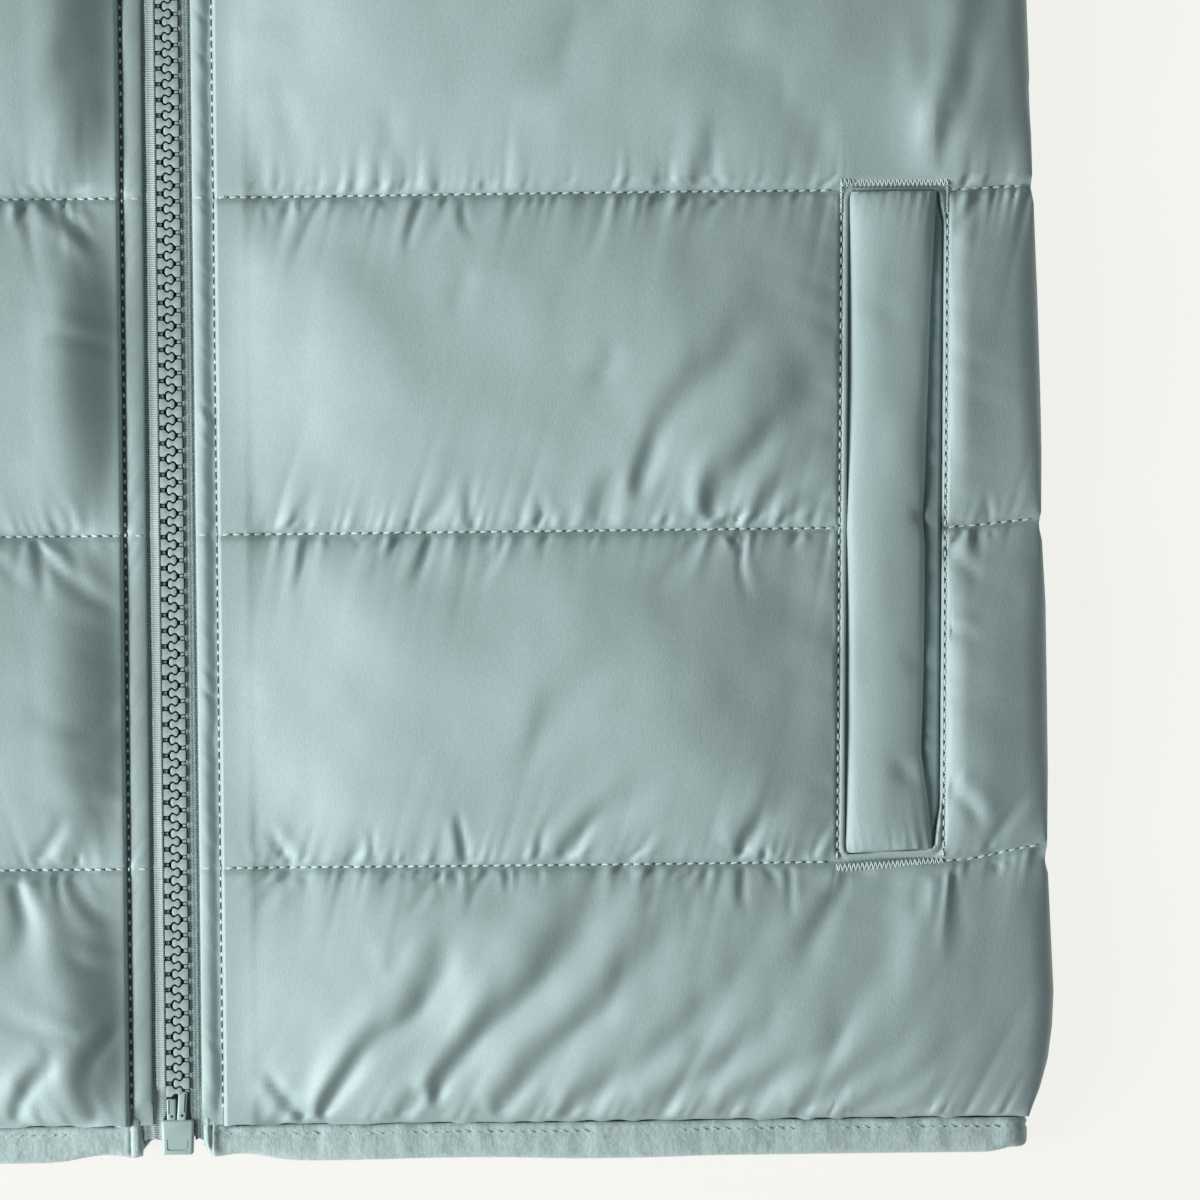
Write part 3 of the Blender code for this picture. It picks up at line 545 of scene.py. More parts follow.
# Each fold: its line, depth, width, flank, the flank's side, and how it fades at its ends
leftFolds = [
    ([(9.7, 233.8), (21.4, 230.5), (35.0, 228.7)], 1.0, 1.5, 0.6, 1.0, 0.05, 0.6),
    ([(9.9, 234.4), (18.6, 235.2)], 0.6, 0.9, 0.6, 1.0, 0.05, 0.6),
    ([(22.0, 226.0), (30.0, 212.0)], 0.45, 1.8, 0.4, 1.0, 0.4, 0.4),
    ([(46.0, 222.0), (48.5, 210.0)], 0.5, 2.4, 0.4, 1.0, 0.4, 0.4),
    ([(70.0, 226.0), (76.0, 228.0), (91.2, 235.4), (99.6, 239.0), (112.0, 243.0)],
     1.9, 5.5, 0.55, -1.0, 0.25, 0.4),
    ([(104.0, 229.0), (118.0, 233.0), (129.0, 228.0), (134.0, 218.0)], 1.1, 4.0, 0.4, 1.0, 0.3, 0.4),
    ([(126.7, 224.1), (134.0, 216.0), (141.0, 207.5)], 1.0, 2.2, 0.5, 1.0, 0.3, 0.25),
    ([(110.0, 204.0), (117.0, 212.0), (121.0, 219.0)], 0.7, 2.4, 0.6, 1.0, 0.1, 0.5),
    ([(161.0, 207.0), (165.0, 218.0), (170.0, 232.0), (176.0, 252.0)], 1.4, 2.6, 0.8, 1.0, 0.2, 0.3),
    ([(155.0, 212.0), (160.0, 226.0), (166.0, 240.0)], 0.8, 2.6, 0.5, -1.0, 0.3, 0.4),
    ([(98.1, 137.0), (99.0, 143.8), (106.3, 156.5), (117.7, 166.7), (135.5, 176.2)],
     1.4, 3.4, 0.6, 1.0, 0.12, 0.35),
    ([(112.4, 133.0), (118.3, 144.2), (132.1, 157.1), (140.0, 165.5)], 1.7, 2.9, 0.65, 1.0, 0.08, 0.25),
    ([(122.0, 133.0), (127.0, 140.5), (137.0, 148.0)], 0.8, 2.0, 0.5, 1.0, 0.1, 0.4),
    ([(128.0, 133.0), (133.0, 137.0), (139.0, 139.5)], 0.5, 1.1, 0.5, 1.0, 0.1, 0.4),
    ([(90.0, 133.5), (92.0, 140.0), (97.0, 150.0)], 0.6, 1.9, 0.5, 1.0, 0.1, 0.5),
    ([(58.0, 176.6), (65.4, 187.0)], 0.35, 2.4, 0.5, 1.0, 0.4, 0.4),
    ([(88.3, 161.5), (95.7, 170.9)], 0.4, 2.8, 0.5, 1.0, 0.4, 0.4),
    ([(9.8, 99.4), (18.2, 102.4)], 0.55, 1.1, 0.6, 1.0, 0.05, 0.6),
    ([(9.8, 97.4), (20.0, 97.4)], 0.3, 1.2, 0.5, -1.0, 0.05, 0.6),
    ([(24.8, 62.4), (18.8, 70.7)], 0.75, 1.0, 0.5, -1.0, 0.05, 0.45),
    ([(24.8, 61.4), (16.3, 53.1)], 0.8, 1.1, 0.5, 1.0, 0.05, 0.45),
    ([(61.5, 62.4), (60.6, 66.0), (59.6, 74.5)], 0.8, 1.0, 0.5, 1.0, 0.05, 0.4),
    ([(41.6, 62.4), (41.7, 71.3)], 0.5, 0.8, 0.5, 1.0, 0.05, 0.5),
    ([(80.0, 62.6), (84.0, 67.0), (95.0, 75.0), (107.0, 83.0)], 1.0, 2.2, 0.6, 1.0, 0.08, 0.5),
    ([(118.0, 63.5), (123.0, 70.0), (135.0, 80.0)], 1.1, 2.6, 0.6, 1.0, 0.08, 0.5),
    ([(70.0, 78.0), (84.0, 95.0), (104.0, 112.0)], 0.7, 5.0, 0.5, 1.0, 0.3, 0.4),
    ([(162.6, 77.6), (167.3, 73.5), (170.6, 68.2)], 0.7, 1.5, 0.6, 1.0, 0.08, 0.4),
    ([(163.0, 110.5), (170.0, 109.5)], 0.5, 1.1, 0.5, 1.0, 0.08, 0.5),
    ([(163.0, 128.0), (166.0, 124.0), (171.0, 120.0)], 0.4, 1.3, 0.5, 1.0, 0.08, 0.5),
    ([(26.9, 9.0), (22.0, 14.5), (17.4, 20.6)], 1.2, 1.3, 0.5, 1.0, 0.05, 0.4),
    ([(29.5, 9.0), (39.2, 21.6), (51.3, 32.6), (56.0, 43.0), (62.0, 55.0)], 1.9, 2.4, 0.75, 1.0, 0.04, 0.3),
    ([(44.0, 38.0), (50.0, 49.0), (54.0, 58.0)], 0.7, 2.6, 0.5, 1.0, 0.3, 0.3),
    ([(46.5, 9.0), (52.8, 15.8), (57.0, 20.0)], 0.9, 1.4, 0.5, 1.0, 0.05, 0.5),
    ([(53.4, 11.8), (59.2, 20.5), (75.5, 36.5), (84.0, 46.0), (91.0, 58.0)], 2.2, 3.0, 0.8, 1.0, 0.06, 0.2),
    ([(66.4, 8.6), (73.6, 17.2), (88.9, 31.5), (103.0, 44.0), (112.0, 57.0)],
     1.7, 3.2, 0.75, 1.0, 0.05, 0.25),
    ([(80.0, 9.0), (90.0, 15.0), (104.0, 24.0), (118.0, 37.0), (127.0, 50.0)],
     1.3, 3.4, 0.7, 1.0, 0.06, 0.3),
    ([(97.0, 9.0), (108.0, 15.0), (122.0, 25.0), (134.0, 39.0)], 1.2, 3.0, 0.7, 1.0, 0.06, 0.35),
    ([(113.0, 9.0), (122.0, 14.0), (136.0, 24.0), (146.0, 38.0), (152.0, 52.0)],
     1.3, 3.2, 0.7, 1.0, 0.06, 0.4),
    ([(128.0, 9.0), (137.0, 13.0), (150.0, 22.0), (158.0, 34.0)], 0.9, 2.6, 0.6, 1.0, 0.06, 0.4),
    ([(141.0, 9.0), (150.0, 13.0), (160.0, 20.0), (166.0, 29.0)], 0.8, 2.2, 0.6, 1.0, 0.06, 0.4),
    ([(152.0, 9.0), (159.0, 12.0), (168.0, 18.0)], 0.7, 1.6, 0.6, 1.0, 0.06, 0.5),
    ([(142.4, 59.2), (133.6, 45.7), (126.8, 34.5)], 0.9, 2.2, 0.9, -1.0, 0.1, 0.4),
    ([(157.4, 58.6), (155.4, 48.3)], 0.7, 1.4, 0.5, 1.0, 0.1, 0.5),
    ([(162.5, 60.0), (161.3, 47.3), (160.0, 38.0)], -0.7, 1.2, 0.6, 1.0, 0.08, 0.6),
    ([(24.0, 300.0), (60.0, 322.0), (96.0, 334.0)], 1.0, 4.0, 0.5, 1.0, 0.3, 0.4),
    ([(70.0, 276.0), (84.0, 290.0), (104.0, 304.0)], 1.2, 3.0, 0.6, 1.0, 0.08, 0.4),
    ([(150.0, 282.0), (128.0, 298.0), (112.0, 322.0)], 1.2, 3.4, 0.6, 1.0, 0.1, 0.4),
    ([(40.0, 347.0), (58.0, 366.0), (84.0, 380.0)], 1.1, 3.4, 0.6, 1.0, 0.1, 0.4),
    ([(122.0, 372.0), (104.0, 384.0), (94.0, 402.0)], 1.0, 3.0, 0.6, -1.0, 0.1, 0.4),
    ([(60.0, 418.0), (84.0, 432.0), (110.0, 440.0)], 0.9, 3.2, 0.5, 1.0, 0.1, 0.4),
]
rightFolds = [
    ([(9.8, 238.0), (15.5, 237.0), (26.0, 231.0)], 0.9, 1.8, 0.5, 1.0, 0.05, 0.5),
    ([(10.0, 222.0), (16.0, 226.0), (24.0, 224.0), (33.0, 215.0)], 0.9, 3.0, 0.5, -1.0, 0.1, 0.4),
    ([(12.9, 192.3), (18.1, 195.9), (21.6, 198.5), (23.5, 202.0)], 1.2, 1.3, 0.6, -1.0, 0.3, 0.1),
    ([(30.0, 201.5), (31.5, 197.0)], 0.7, 0.9, 0.5, 1.0, 0.1, 0.4),
    ([(12.0, 206.0), (21.0, 204.5), (30.0, 203.6)], 0.6, 1.0, 0.5, 1.0, 0.3, 0.3),
    ([(10.5, 171.0), (20.0, 173.5), (27.0, 171.0)], 0.5, 1.4, 0.6, 1.0, 0.08, 0.5),
    ([(10.2, 116.0), (18.0, 121.0), (26.0, 129.0)], 0.8, 1.8, 0.5, 1.0, 0.06, 0.5),
    ([(10.2, 96.0), (20.0, 92.0), (33.0, 98.0)], 0.9, 3.0, 0.5, -1.0, 0.1, 0.4),
    ([(10.4, 76.0), (22.0, 74.5), (34.0, 80.0)], 0.7, 1.8, 0.5, 1.0, 0.08, 0.5),
    ([(29.0, 63.0), (25.0, 68.0), (21.0, 74.0)], 0.8, 1.4, 0.6, 1.0, 0.05, 0.5),
    ([(33.5, 60.0), (31.0, 50.0), (36.0, 40.0)], 1.6, 2.2, 0.7, -1.0, 0.1, 0.4),
    ([(22.0, 61.0), (18.0, 54.0), (12.0, 51.0)], 0.8, 1.3, 0.6, 1.0, 0.05, 0.4),
    ([(10.5, 41.0), (18.0, 41.5), (24.0, 46.0)], 0.6, 1.4, 0.5, 1.0, 0.08, 0.5),
    ([(10.5, 30.0), (15.0, 25.0), (19.0, 18.0), (16.0, 9.0)], 1.3, 1.8, 0.6, 1.0, 0.2, 0.1),
    ([(24.0, 22.0), (30.0, 17.0), (34.0, 9.0)], 1.2, 1.6, 0.6, 1.0, 0.2, 0.1),
    ([(20.0, 27.0), (30.0, 29.0), (40.0, 32.0)], 0.7, 1.5, 0.5, 1.0, 0.1, 0.4),
]
# The rest of the right front, outside the photograph, has folds like the left front's
rightFolds += [([(x + 1.5, h - 1.0) for x, h in fold[0]], *fold[1:]) for fold in leftFolds[10:]
               if min(x for x, h in fold[0]) > 44.0]

leftLook = {"seed": 11, "folds": leftFolds, "creases": 0.55, "rollTilt": 1.6, "foldsPerRow": 32,
            "foldSpan": (14.0, 180.0), "zipRound": 0.08, "zipReach": 38.0, "zipBulge": 0.0,
            "furrowStitch": 0.4, "furrowWidth": 0.4}
rightLook = {"seed": 47, "folds": rightFolds, "creases": 0.3, "rollTilt": 0.0, "foldsPerRow": 36,
             "foldSpan": (12.0, 180.0), "zipRound": 0.2, "zipReach": 18.0, "zipBulge": 1.9,
             "furrowStitch": 0.9, "furrowWidth": 0.65}


# Materials

def addNode(tree, kind, inputs=None, **settings):
    item = tree.nodes.new(kind)
    for key, value in settings.items():
        setattr(item, key, value)
    for key, value in (inputs or {}).items():
        if isinstance(value, bpy.types.NodeSocket):
            tree.links.new(value, item.inputs[key])
        else:
            item.inputs[key].default_value = value
    return item


def maths(tree, operation, a, b=0.0):
    return addNode(tree, "ShaderNodeMath", {0: a, 1: b}, operation=operation).outputs[0]


# Sine along a coordinate, with the period in millimetres
def wave(tree, value, period, shift=0.0):
    turned = maths(tree, "MULTIPLY_ADD", value, 2.0 * pi / (period * millimetre))
    turned.node.inputs[2].default_value = shift
    return maths(tree, "SINE", turned)


def noiseAt(tree, place, scale, detail=2.0, stretch=(1.0, 1.0, 1.0), roughness=0.5):
    moved = addNode(tree, "ShaderNodeMapping", {"Vector": place, "Scale": stretch})
    found = addNode(tree, "ShaderNodeTexNoise", {"Vector": moved.outputs[0], "Scale": scale, "Detail": detail,
                                                 "Roughness": roughness})
    return found.outputs["Fac"]


def blended(tree, factor, dark, light, low=0.3, high=0.7):
    ramp = addNode(tree, "ShaderNodeValToRGB", {"Fac": factor})
    ramp.color_ramp.elements[0].position = low
    ramp.color_ramp.elements[0].color = (*dark, 1.0)
    ramp.color_ramp.elements[1].position = high
    ramp.color_ramp.elements[1].color = (*light, 1.0)
    return ramp.outputs["Color"]


def shaded(colour, share):
    return tuple(part * share for part in colour)


def newMaterial(name, settings):
    material = bpy.data.materials.new(name)
    material.use_nodes = True
    tree = material.node_tree
    shader = tree.nodes["Principled BSDF"]
    for key, value in settings.items():
        shader.inputs[key].default_value = value
    place = addNode(tree, "ShaderNodeTexCoord").outputs["Object"]
    axes = addNode(tree, "ShaderNodeSeparateXYZ", {0: place}).outputs
    return material, tree, shader, place, axes


def bumped(tree, shader, height, distance, strength=1.0):
    bump = addNode(tree, "ShaderNodeBump", {"Height": height, "Distance": distance, "Strength": strength})
    tree.links.new(bump.outputs["Normal"], shader.inputs["Normal"])


def satinCloth(name, colour, roughness=0.5):
    settings = {"Roughness": roughness, "Specular IOR Level": 0.45, "Sheen Weight": 0.12,
                "Sheen Roughness": 0.4}
    material, tree, shader, place, axes = newMaterial(name, settings)
    grain = noiseAt(tree, place, 2600.0, 2.0, (1.0, 0.5, 1.0), 0.6)
    mottle = noiseAt(tree, place, 38.0, 3.0)
    mixed = maths(tree, "ADD", maths(tree, "MULTIPLY", grain, 0.55), maths(tree, "MULTIPLY", mottle, 0.45))
    tint = blended(tree, mixed, shaded(colour, 0.9), shaded(colour, 1.1))
    tree.links.new(tint, shader.inputs["Base Color"])
    threads = maths(tree, "MULTIPLY", wave(tree, axes[0], 0.34), wave(tree, axes[1], 0.34))
    height = maths(tree, "ADD", maths(tree, "MULTIPLY", threads, 0.12), grain)
    bumped(tree, shader, height, 0.000045)
    return material


# Knit with rows of loops: small ribs along y in narrow columns across x. Its colour follows the same relief,
# darker in the hollows and lighter on the loops: painted shade and painted highlight
def ribbedKnit(name, colour, along, across, slant, fuzz=0.5, depth=0.00012, dark=0.68, light=1.2):
    settings = {"Roughness": 0.8, "Specular IOR Level": 0.3, "Sheen Weight": 0.25, "Sheen Roughness": 0.5}
    material, tree, shader, place, axes = newMaterial(name, settings)
    column = wave(tree, axes[0], across)
    leaning = maths(tree, "MULTIPLY_ADD", maths(tree, "ABSOLUTE", column), slant * millimetre)
    tree.links.new(axes[1], leaning.node.inputs[2])
    loops = wave(tree, leaning, along)
    grain = noiseAt(tree, place, 1800.0, 3.0)
    height = maths(tree, "ADD", maths(tree, "MULTIPLY", loops, 0.5), maths(tree, "MULTIPLY", column, 0.35))
    height = maths(tree, "ADD", height, maths(tree, "MULTIPLY", grain, fuzz))
    paintedReliefShade = maths(tree, "MULTIPLY_ADD", height, 0.35)
    paintedReliefShade.node.inputs[2].default_value = 0.42
    # Colour from the relief: painted shade in the knit's hollows, painted highlight on its loops
    tint = blended(tree, paintedReliefShade, shaded(colour, dark), shaded(colour, light), 0.2, 0.8)
    tree.links.new(tint, shader.inputs["Base Color"])
    bumped(tree, shader, height, depth)
    return material


def brushedKnit(name, colour):
    settings = {"Roughness": 0.9, "Specular IOR Level": 0.2, "Sheen Weight": 0.35, "Sheen Roughness": 0.6}
    material, tree, shader, place, _ = newMaterial(name, settings)
    fibres = noiseAt(tree, place, 900.0, 4.0, (1.0, 0.8, 1.0), 0.65)
    wales = noiseAt(tree, place, 420.0, 2.0, (1.0, 0.16, 0.3), 0.5)
    broad = noiseAt(tree, place, 60.0, 2.0)
    mixed = maths(tree, "ADD", maths(tree, "MULTIPLY", fibres, 0.5), maths(tree, "MULTIPLY", wales, 0.3))
    mixed = maths(tree, "ADD", mixed, maths(tree, "MULTIPLY", broad, 0.2))
    tint = blended(tree, mixed, shaded(colour, 0.74), shaded(colour, 1.24))
    tree.links.new(tint, shader.inputs["Base Color"])
    bumped(tree, shader, maths(tree, "ADD", fibres, maths(tree, "MULTIPLY", wales, 0.8)), 0.00022)
    return material


def mouldedPlastic(name, colour, roughness):
    settings = {"Roughness": roughness, "Specular IOR Level": 0.5}
    material, tree, shader, place, _ = newMaterial(name, settings)
    grain = noiseAt(tree, place, 700.0, 3.0)
    tint = blended(tree, noiseAt(tree, place, 150.0, 2.0), shaded(colour, 0.95), shaded(colour, 1.05))
    tree.links.new(tint, shader.inputs["Base Color"])
    bumped(tree, shader, grain, 0.00002)
    return material


def twistedThread(name, colour):
    settings = {"Roughness": 0.55, "Specular IOR Level": 0.4, "Sheen Weight": 0.2}
    material, tree, shader, _, axes = newMaterial(name, settings)
    twist = wave(tree, maths(tree, "ADD", axes[0], axes[1]), 0.35)
    tint = blended(tree, twist, shaded(colour, 0.9), shaded(colour, 1.08), 0.0, 1.0)
    tree.links.new(tint, shader.inputs["Base Color"])
    bumped(tree, shader, twist, 0.00003)
    return material


colours = {
    # pocket: a darker copy of the shell colour, painted shade for the pocket cloth deep in the slit beside
    # the welt
    "shell": (0.335, 0.438, 0.436), "pocket": (0.22, 0.3, 0.303), "binding": (0.36, 0.468, 0.462),
    # The two tape colours are one tape colour, made lighter for the left tape, which faces the light, and
    # darker for the right tape, in the teeth's shadow: painted light and painted shade
    "tapePaintedLit": (0.52, 0.67, 0.66), "tapePaintedShade": (0.28, 0.372, 0.368), "plastic": (0.337, 0.438, 0.433),
    # The near-black colour after the thread is painted shade, for the dark pieces in needle holes and along
    # the zip furrow
    "thread": (0.66, 0.79, 0.77), "paintedHoleShade": (0.05, 0.075, 0.075), "trimThread": (0.42, 0.53, 0.52),
}
shellCloth = satinCloth("satinShell", colours["shell"], 0.56)
# The pocket cloth's satin takes that darker colour: painted shade for the cloth deep in the slit
pocketClothPaintedShade = satinCloth("pocketSatinPaintedShade", colours["pocket"], 0.6)
bindingKnit = brushedKnit("brushedKnit", colours["binding"])
# Left tape: the lighter copy, painted light; right tape: the darker copy, painted shade, with a strong
# dark-to-light ramp over its knit
tapeKnits = {-1: ribbedKnit("zipTapeRibsPaintedLight", colours["tapePaintedLit"], 0.47, 1.8, 0.0, 0.4, 0.00025, 0.5, 1.3),
             1: ribbedKnit("zipTapeBraidPaintedShade", colours["tapePaintedShade"], 0.5, 0.7, 0.3, 0.9, 0.0003, 0.15, 2.0)}
plastic = mouldedPlastic("mouldedPlastic", colours["plastic"], 0.38)
thread = twistedThread("sewingThread", colours["thread"])
trimThread = twistedThread("trimThread", colours["trimThread"])
# Near-black copy of the satin for the dark pieces between stitches: painted shade of needle holes and furrows
paintedNeedleShade = satinCloth("paintedNeedleShade", colours["paintedHoleShade"], 0.9)

frontMesh = {"rowSteps": (0.5, 1.3, 4.0), "shownTo": 203.0, "topSteps": 26,
             "nearStep": 0.68, "farSteps": (0.68, 2.0), "pocketSteps": (0.25, 0.5), "insideStep": 8}
frontHeights = bodyRows(*frontMesh["rowSteps"], frontMesh["shownTo"])


def buildFront(name, side, look, farStep, pocketStep):
    columns = frontColumns(frontMesh["nearStep"], farStep, pocketStep)
    x, h = panelGrid(columns, frontHeights, frontMesh["topSteps"], frontNeck, True)
    return slab(name, x * side, h, frontZ(x, h, look), frontInside(x), frontMesh["insideStep"], shellCloth)


frontLeft = buildFront("frontLeft", 1, leftLook, frontMesh["farSteps"][0], frontMesh["pocketSteps"][0])
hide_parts("front_left")
frontRight = buildFront("frontRight", -1, rightLook, frontMesh["farSteps"][1], frontMesh["pocketSteps"][1])
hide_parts("front_right")


def buildRoll(name, side, look):
    top = float(frontNeck(np.array(front["edgeX"])))
    h = np.append(spaced(panelInset, top, 0.55), top)[:, None]
    x = np.append(spaced(front["edgeX"], front["furrowX"] - 0.05, 0.34), front["furrowX"] - 0.05)[None, :]
    x, h = np.broadcast_arrays(x, h)
    return slab(name, x * side, h, rollZ(x, h, look), frontInside(x), 6, shellCloth)


rolls = [buildRoll("zipRollLeft", 1, leftLook), buildRoll("zipRollRight", -1, rightLook)]
for roll, node in zip(rolls, ("front_left", "front_right")):
    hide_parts(node)
print("front panels:", len(frontLeft.data.polygons), len(frontRight.data.polygons))

# Back: flat where it rests, with its seam rows pressed in, and a plain inside
back = {"insideZ": 5.05, "dip": 1.9, "edgeReach": 16.0, "thin": 2.2, "groove": 1.5, "grooveReach": 6.0,
        "columnStep": 2.1, "nearStep": 0.8, "farStep": 3.4, "topSteps": 14}
backOutline = outline(backNeck)
boundEdges = (backOutline[:2], armholeLine(), neckLine(backNeck))


def backInside(x, h):
    bound = np.minimum.reduce([distanceTo(np.abs(x), h, edge) for edge in boundEdges])
    return back["insideZ"] - back["dip"] * (1.0 - roundRise(bound, back["edgeReach"]))


def backOutside(x, h):
    seam, which = rowOffset(x, h)
    gap = np.abs(seam)
    rise = roundRise(distanceTo(np.abs(x), h, backOutline), back["edgeReach"])
    edge = (backInside(x, h) - back["thin"]) * (1.0 - rise)
    track = which * 2.0 + (seam > 0)
    pressed = back["groove"] * np.maximum(0.0, 1.0 - gap / back["grooveReach"]) ** 1.5
    gather = 0.5 * (gathered(x / 6.5, track, 91) + 0.42) * np.exp(-gap / 6.0) + 0.2 * hill(gap, 0.9)
    return np.maximum(edge, pressed + gather * 0.8)


halfColumns = np.append(spaced(0.0, garment["halfWidth"], back["columnStep"]), garment["halfWidth"])
backHeights = bodyRows(back["nearStep"], back["farStep"], back["farStep"], garment["length"])
halfX, halfH = panelGrid(halfColumns, backHeights, back["topSteps"], backNeck, False)
x = np.hstack([-halfX[:, :0:-1], halfX])
h = np.hstack([halfH[:, :0:-1], halfH])
backPanel = slab("backPanel", x, h, backOutside(x, h), backInside(x, h), 4, shellCloth)
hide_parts("back")

# Bindings and collar: strips swept from a root line, each with an upper and a lower layer
strip = {"thickness": 4.0, "lowerZ": 2.0, "upperZ": 6.3, "foldSteps": 9, "rounding": 0.22, "flatSteps": 7,
         "furrow": 0.4, "furrowAt": 0.24}
up, down = np.array([0.0, 0.0, 1.0]), np.array([0.0, 0.0, -1.0])


# Cross-section as (along the reach, share of half the thickness), round at its free edge
def stripProfile(rounding, flatSteps):
    rim = [(1.0 - rounding + rounding * cos(a), sin(a)) for a in np.linspace(-pi / 2, pi / 2, 9)]
    flat = np.linspace(0.0, 1.0 - rounding, flatSteps)
    return np.array([(t, -1.0) for t in flat[:-1]] + rim + [(t, 1.0) for t in flat[::-1][1:]])


# Closed strip through stations of root, reach and lift, each an (x, h, z) in millimetres
def sweep(name, stations, profile, material, shape=None):
    root, reach, lift = (np.array([station[k] for station in stations]) for k in range(3))
    along = np.concatenate([[0.0], np.cumsum(np.linalg.norm(np.diff(root, axis=0), axis=1))])
    thick = np.full((len(root), len(profile)), strip["thickness"] / 2)
    if shape is not None:
        thick = thick + shape(along[:, None], profile[None, :, 0], profile[None, :, 1])
    points = root[:, None] + reach[:, None] * profile[None, :, :1]
    points = points + lift[:, None] * (profile[None, :, 1] * thick)[..., None]
    count = len(profile)
    index = np.arange(len(root) * count).reshape(len(root), count)
    following = np.roll(index, -1, axis=1)
    quads = np.stack([index[:-1], following[:-1], following[1:], index[1:]], axis=-1).reshape(-1, 4)
    faces = quads.tolist() + [index[0].tolist()[::-1], index[-1].tolist()]
    cross = np.cross(points[0, 1] - points[0, 0], points[1, 0] - points[0, 0])
    outward = points[0, 0] - points[0].mean(axis=0)
    if np.dot(cross, outward) < 0:
        faces = [face[::-1] for face in faces]
    places = world(points[..., 0], points[..., 1], np.maximum(points[..., 2], 0.0))
    return addMesh(name, places, faces, material)


# Stations that carry a strip from its upper layer round to its lower one
def foldRound(station, outward, lift=0.0):
    root, reach, _ = (np.array(part, float) for part in station)
    radius = (strip["upperZ"] - strip["lowerZ"]) / 2
    shift = np.array([0.0, lift, 0.0])
    outward = np.array(outward, float)
    stations = []
    for step in range(1, strip["foldSteps"]):
        angle = pi * step / strip["foldSteps"]
        up = np.array([0.0, 0.0, cos(angle)]) + outward * sin(angle)
        eased = shift * min(1.0, 2.0 * step / strip["foldSteps"])
        stations.append((root + eased - np.array([0.0, 0.0, radius]) + up * radius, reach - eased, up))
    return stations


bindingProfile = stripProfile(strip["rounding"], strip["flatSteps"])
hemBinding = {"ends": {1: 5.4, -1: 7.5}, "corners": {1: 3.0, -1: 0.7}, "endStep": 0.35,
              "endFurrows": (1.85, 2.9), "endRise": 0.9, "stitchDrop": 1.75,
              "fineTo": {1: 14.0, -1: 16.0}, "stations": {1: 150, -1: 90}, "lowerStations": 90}
foldX = garment["sideEdge"][0][1] - strip["upperZ"] + strip["lowerZ"]


def hemTop(x, side):
    past = x - hemBinding["ends"][side]
    return garment["bindingWidth"] + 2.3 * hill(past - 1.2, 2.2) + 0.12 * noise(x / 6.0, 0.0, 61)


def hemBottom(x, side):
    past = x - hemBinding["ends"][side]
    corner = hemBinding["corners"][side] * hill(past, 1.2)
    return corner + 1.5 * hill(past - 8.0, 7.0) + 0.25 * (1 + noise(x / 30.0, 1.0, 62))


# The under layer's free edge stays higher than the upper one's, so that it isn't seen
def hemStation(x, side, lift):
    z, top, bottom = strip["upperZ"], float(hemTop(x, side)), float(hemBottom(x, side))
    if lift is down:
        z, top = strip["lowerZ"], garment["bindingWidth"]
        bottom = max(float(hemBottom(x, 1)) + 0.4, 5.3 * float(np.exp(-(x / 8.0) ** 6)))
    corner = max(0.0, (x - foldX + 6.0) / 6.0) ** 2
    return (np.array([x * side, top, z]), np.array([0.0, bottom + corner - top, 0.0]), lift)


def hemStations():
    halves = {}
    for side, end in hemBinding["ends"].items():
        fineTo, count = hemBinding["fineTo"][side], hemBinding["stations"][side]
        xs = np.append(np.arange(end, fineTo, hemBinding["endStep"]), np.linspace(fineTo, foldX, count))
        halves[side] = [hemStation(x, side, up) for x in xs]
        halves[side] += foldRound(halves[side][-1], (float(side), 0.0, 0.0))
    lowerXs = np.linspace(foldX, 0.0, hemBinding["lowerStations"])
    below = [hemStation(x, 1, down) for x in lowerXs]
    below += [hemStation(x, -1, down) for x in np.linspace(0.0, foldX, hemBinding["lowerStations"])[1:]]
    return halves[1] + below + halves[-1][::-1]


# Gathers across the binding, and a stitched furrow under its top edge
def bindingRelief(along, reach, wide, fine, seeds):
    gather = wide[0] * noise(along / wide[1], reach * 0.6, seeds[0])
    gather = gather + fine[0] * noise(along / fine[1], reach * 2.0, seeds[1])
    furrow = strip["furrow"] * hill(reach - strip["furrowAt"], 0.06)
    return gather * (1.0 - smoothStep((reach - 0.85) / 0.15)) - furrow


def hemShape(along, reach, lift):
    end = np.minimum(along, along.max() - along)
    furrowAt = np.where(along < along.max() / 2, *hemBinding["endFurrows"])
    folded = hemBinding["endRise"] * (smoothStep((4.5 - end) / 3.0) - hill(end - furrowAt, 0.35))
    folded = folded - 0.8 * hill(end, 0.45)
    relief = bindingRelief(along, reach, (0.22, 3.1), (0.12, 1.3), (63, 64))
    return relief - 0.55 * smoothStep((0.12 - reach) / 0.12) + folded * (lift > 0)


hem = sweep("hemBinding", hemStations(), bindingProfile, bindingKnit, hemShape)
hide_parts("hem_binding")


def armholeStations(side):
    upper, lower = [], []
    for t in np.linspace(0.0, 1.0, 110):
        (innerX, innerH), (rimX, rimH) = armholePoint(t, garment["bindingWidth"]), armholePoint(t, 0.0)
        reach = np.array([(rimX - innerX) * side, rimH - innerH, 0.0])
        upper.append((np.array([innerX * side, innerH, strip["upperZ"]]), reach, up))
        lower.append((np.array([innerX * side, innerH, strip["lowerZ"]]), reach, down))
    return upper + foldRound(upper[-1], (0.0, 1.0, 0.0)) + lower[::-1]


def bindingShape(along, reach, _):
    relief = bindingRelief(along, reach, (0.2, 3.4), (0.1, 1.4), (65, 66))
    return relief - 0.4 * smoothStep((0.12 - reach) / 0.12)


for name, node, side in (("Left", "armhole_binding_left", 1), ("Right", "armhole_binding_right", -1)):
    item = sweep("armholeBinding" + name, armholeStations(side), bindingProfile, bindingKnit, bindingShape)
    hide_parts(node)

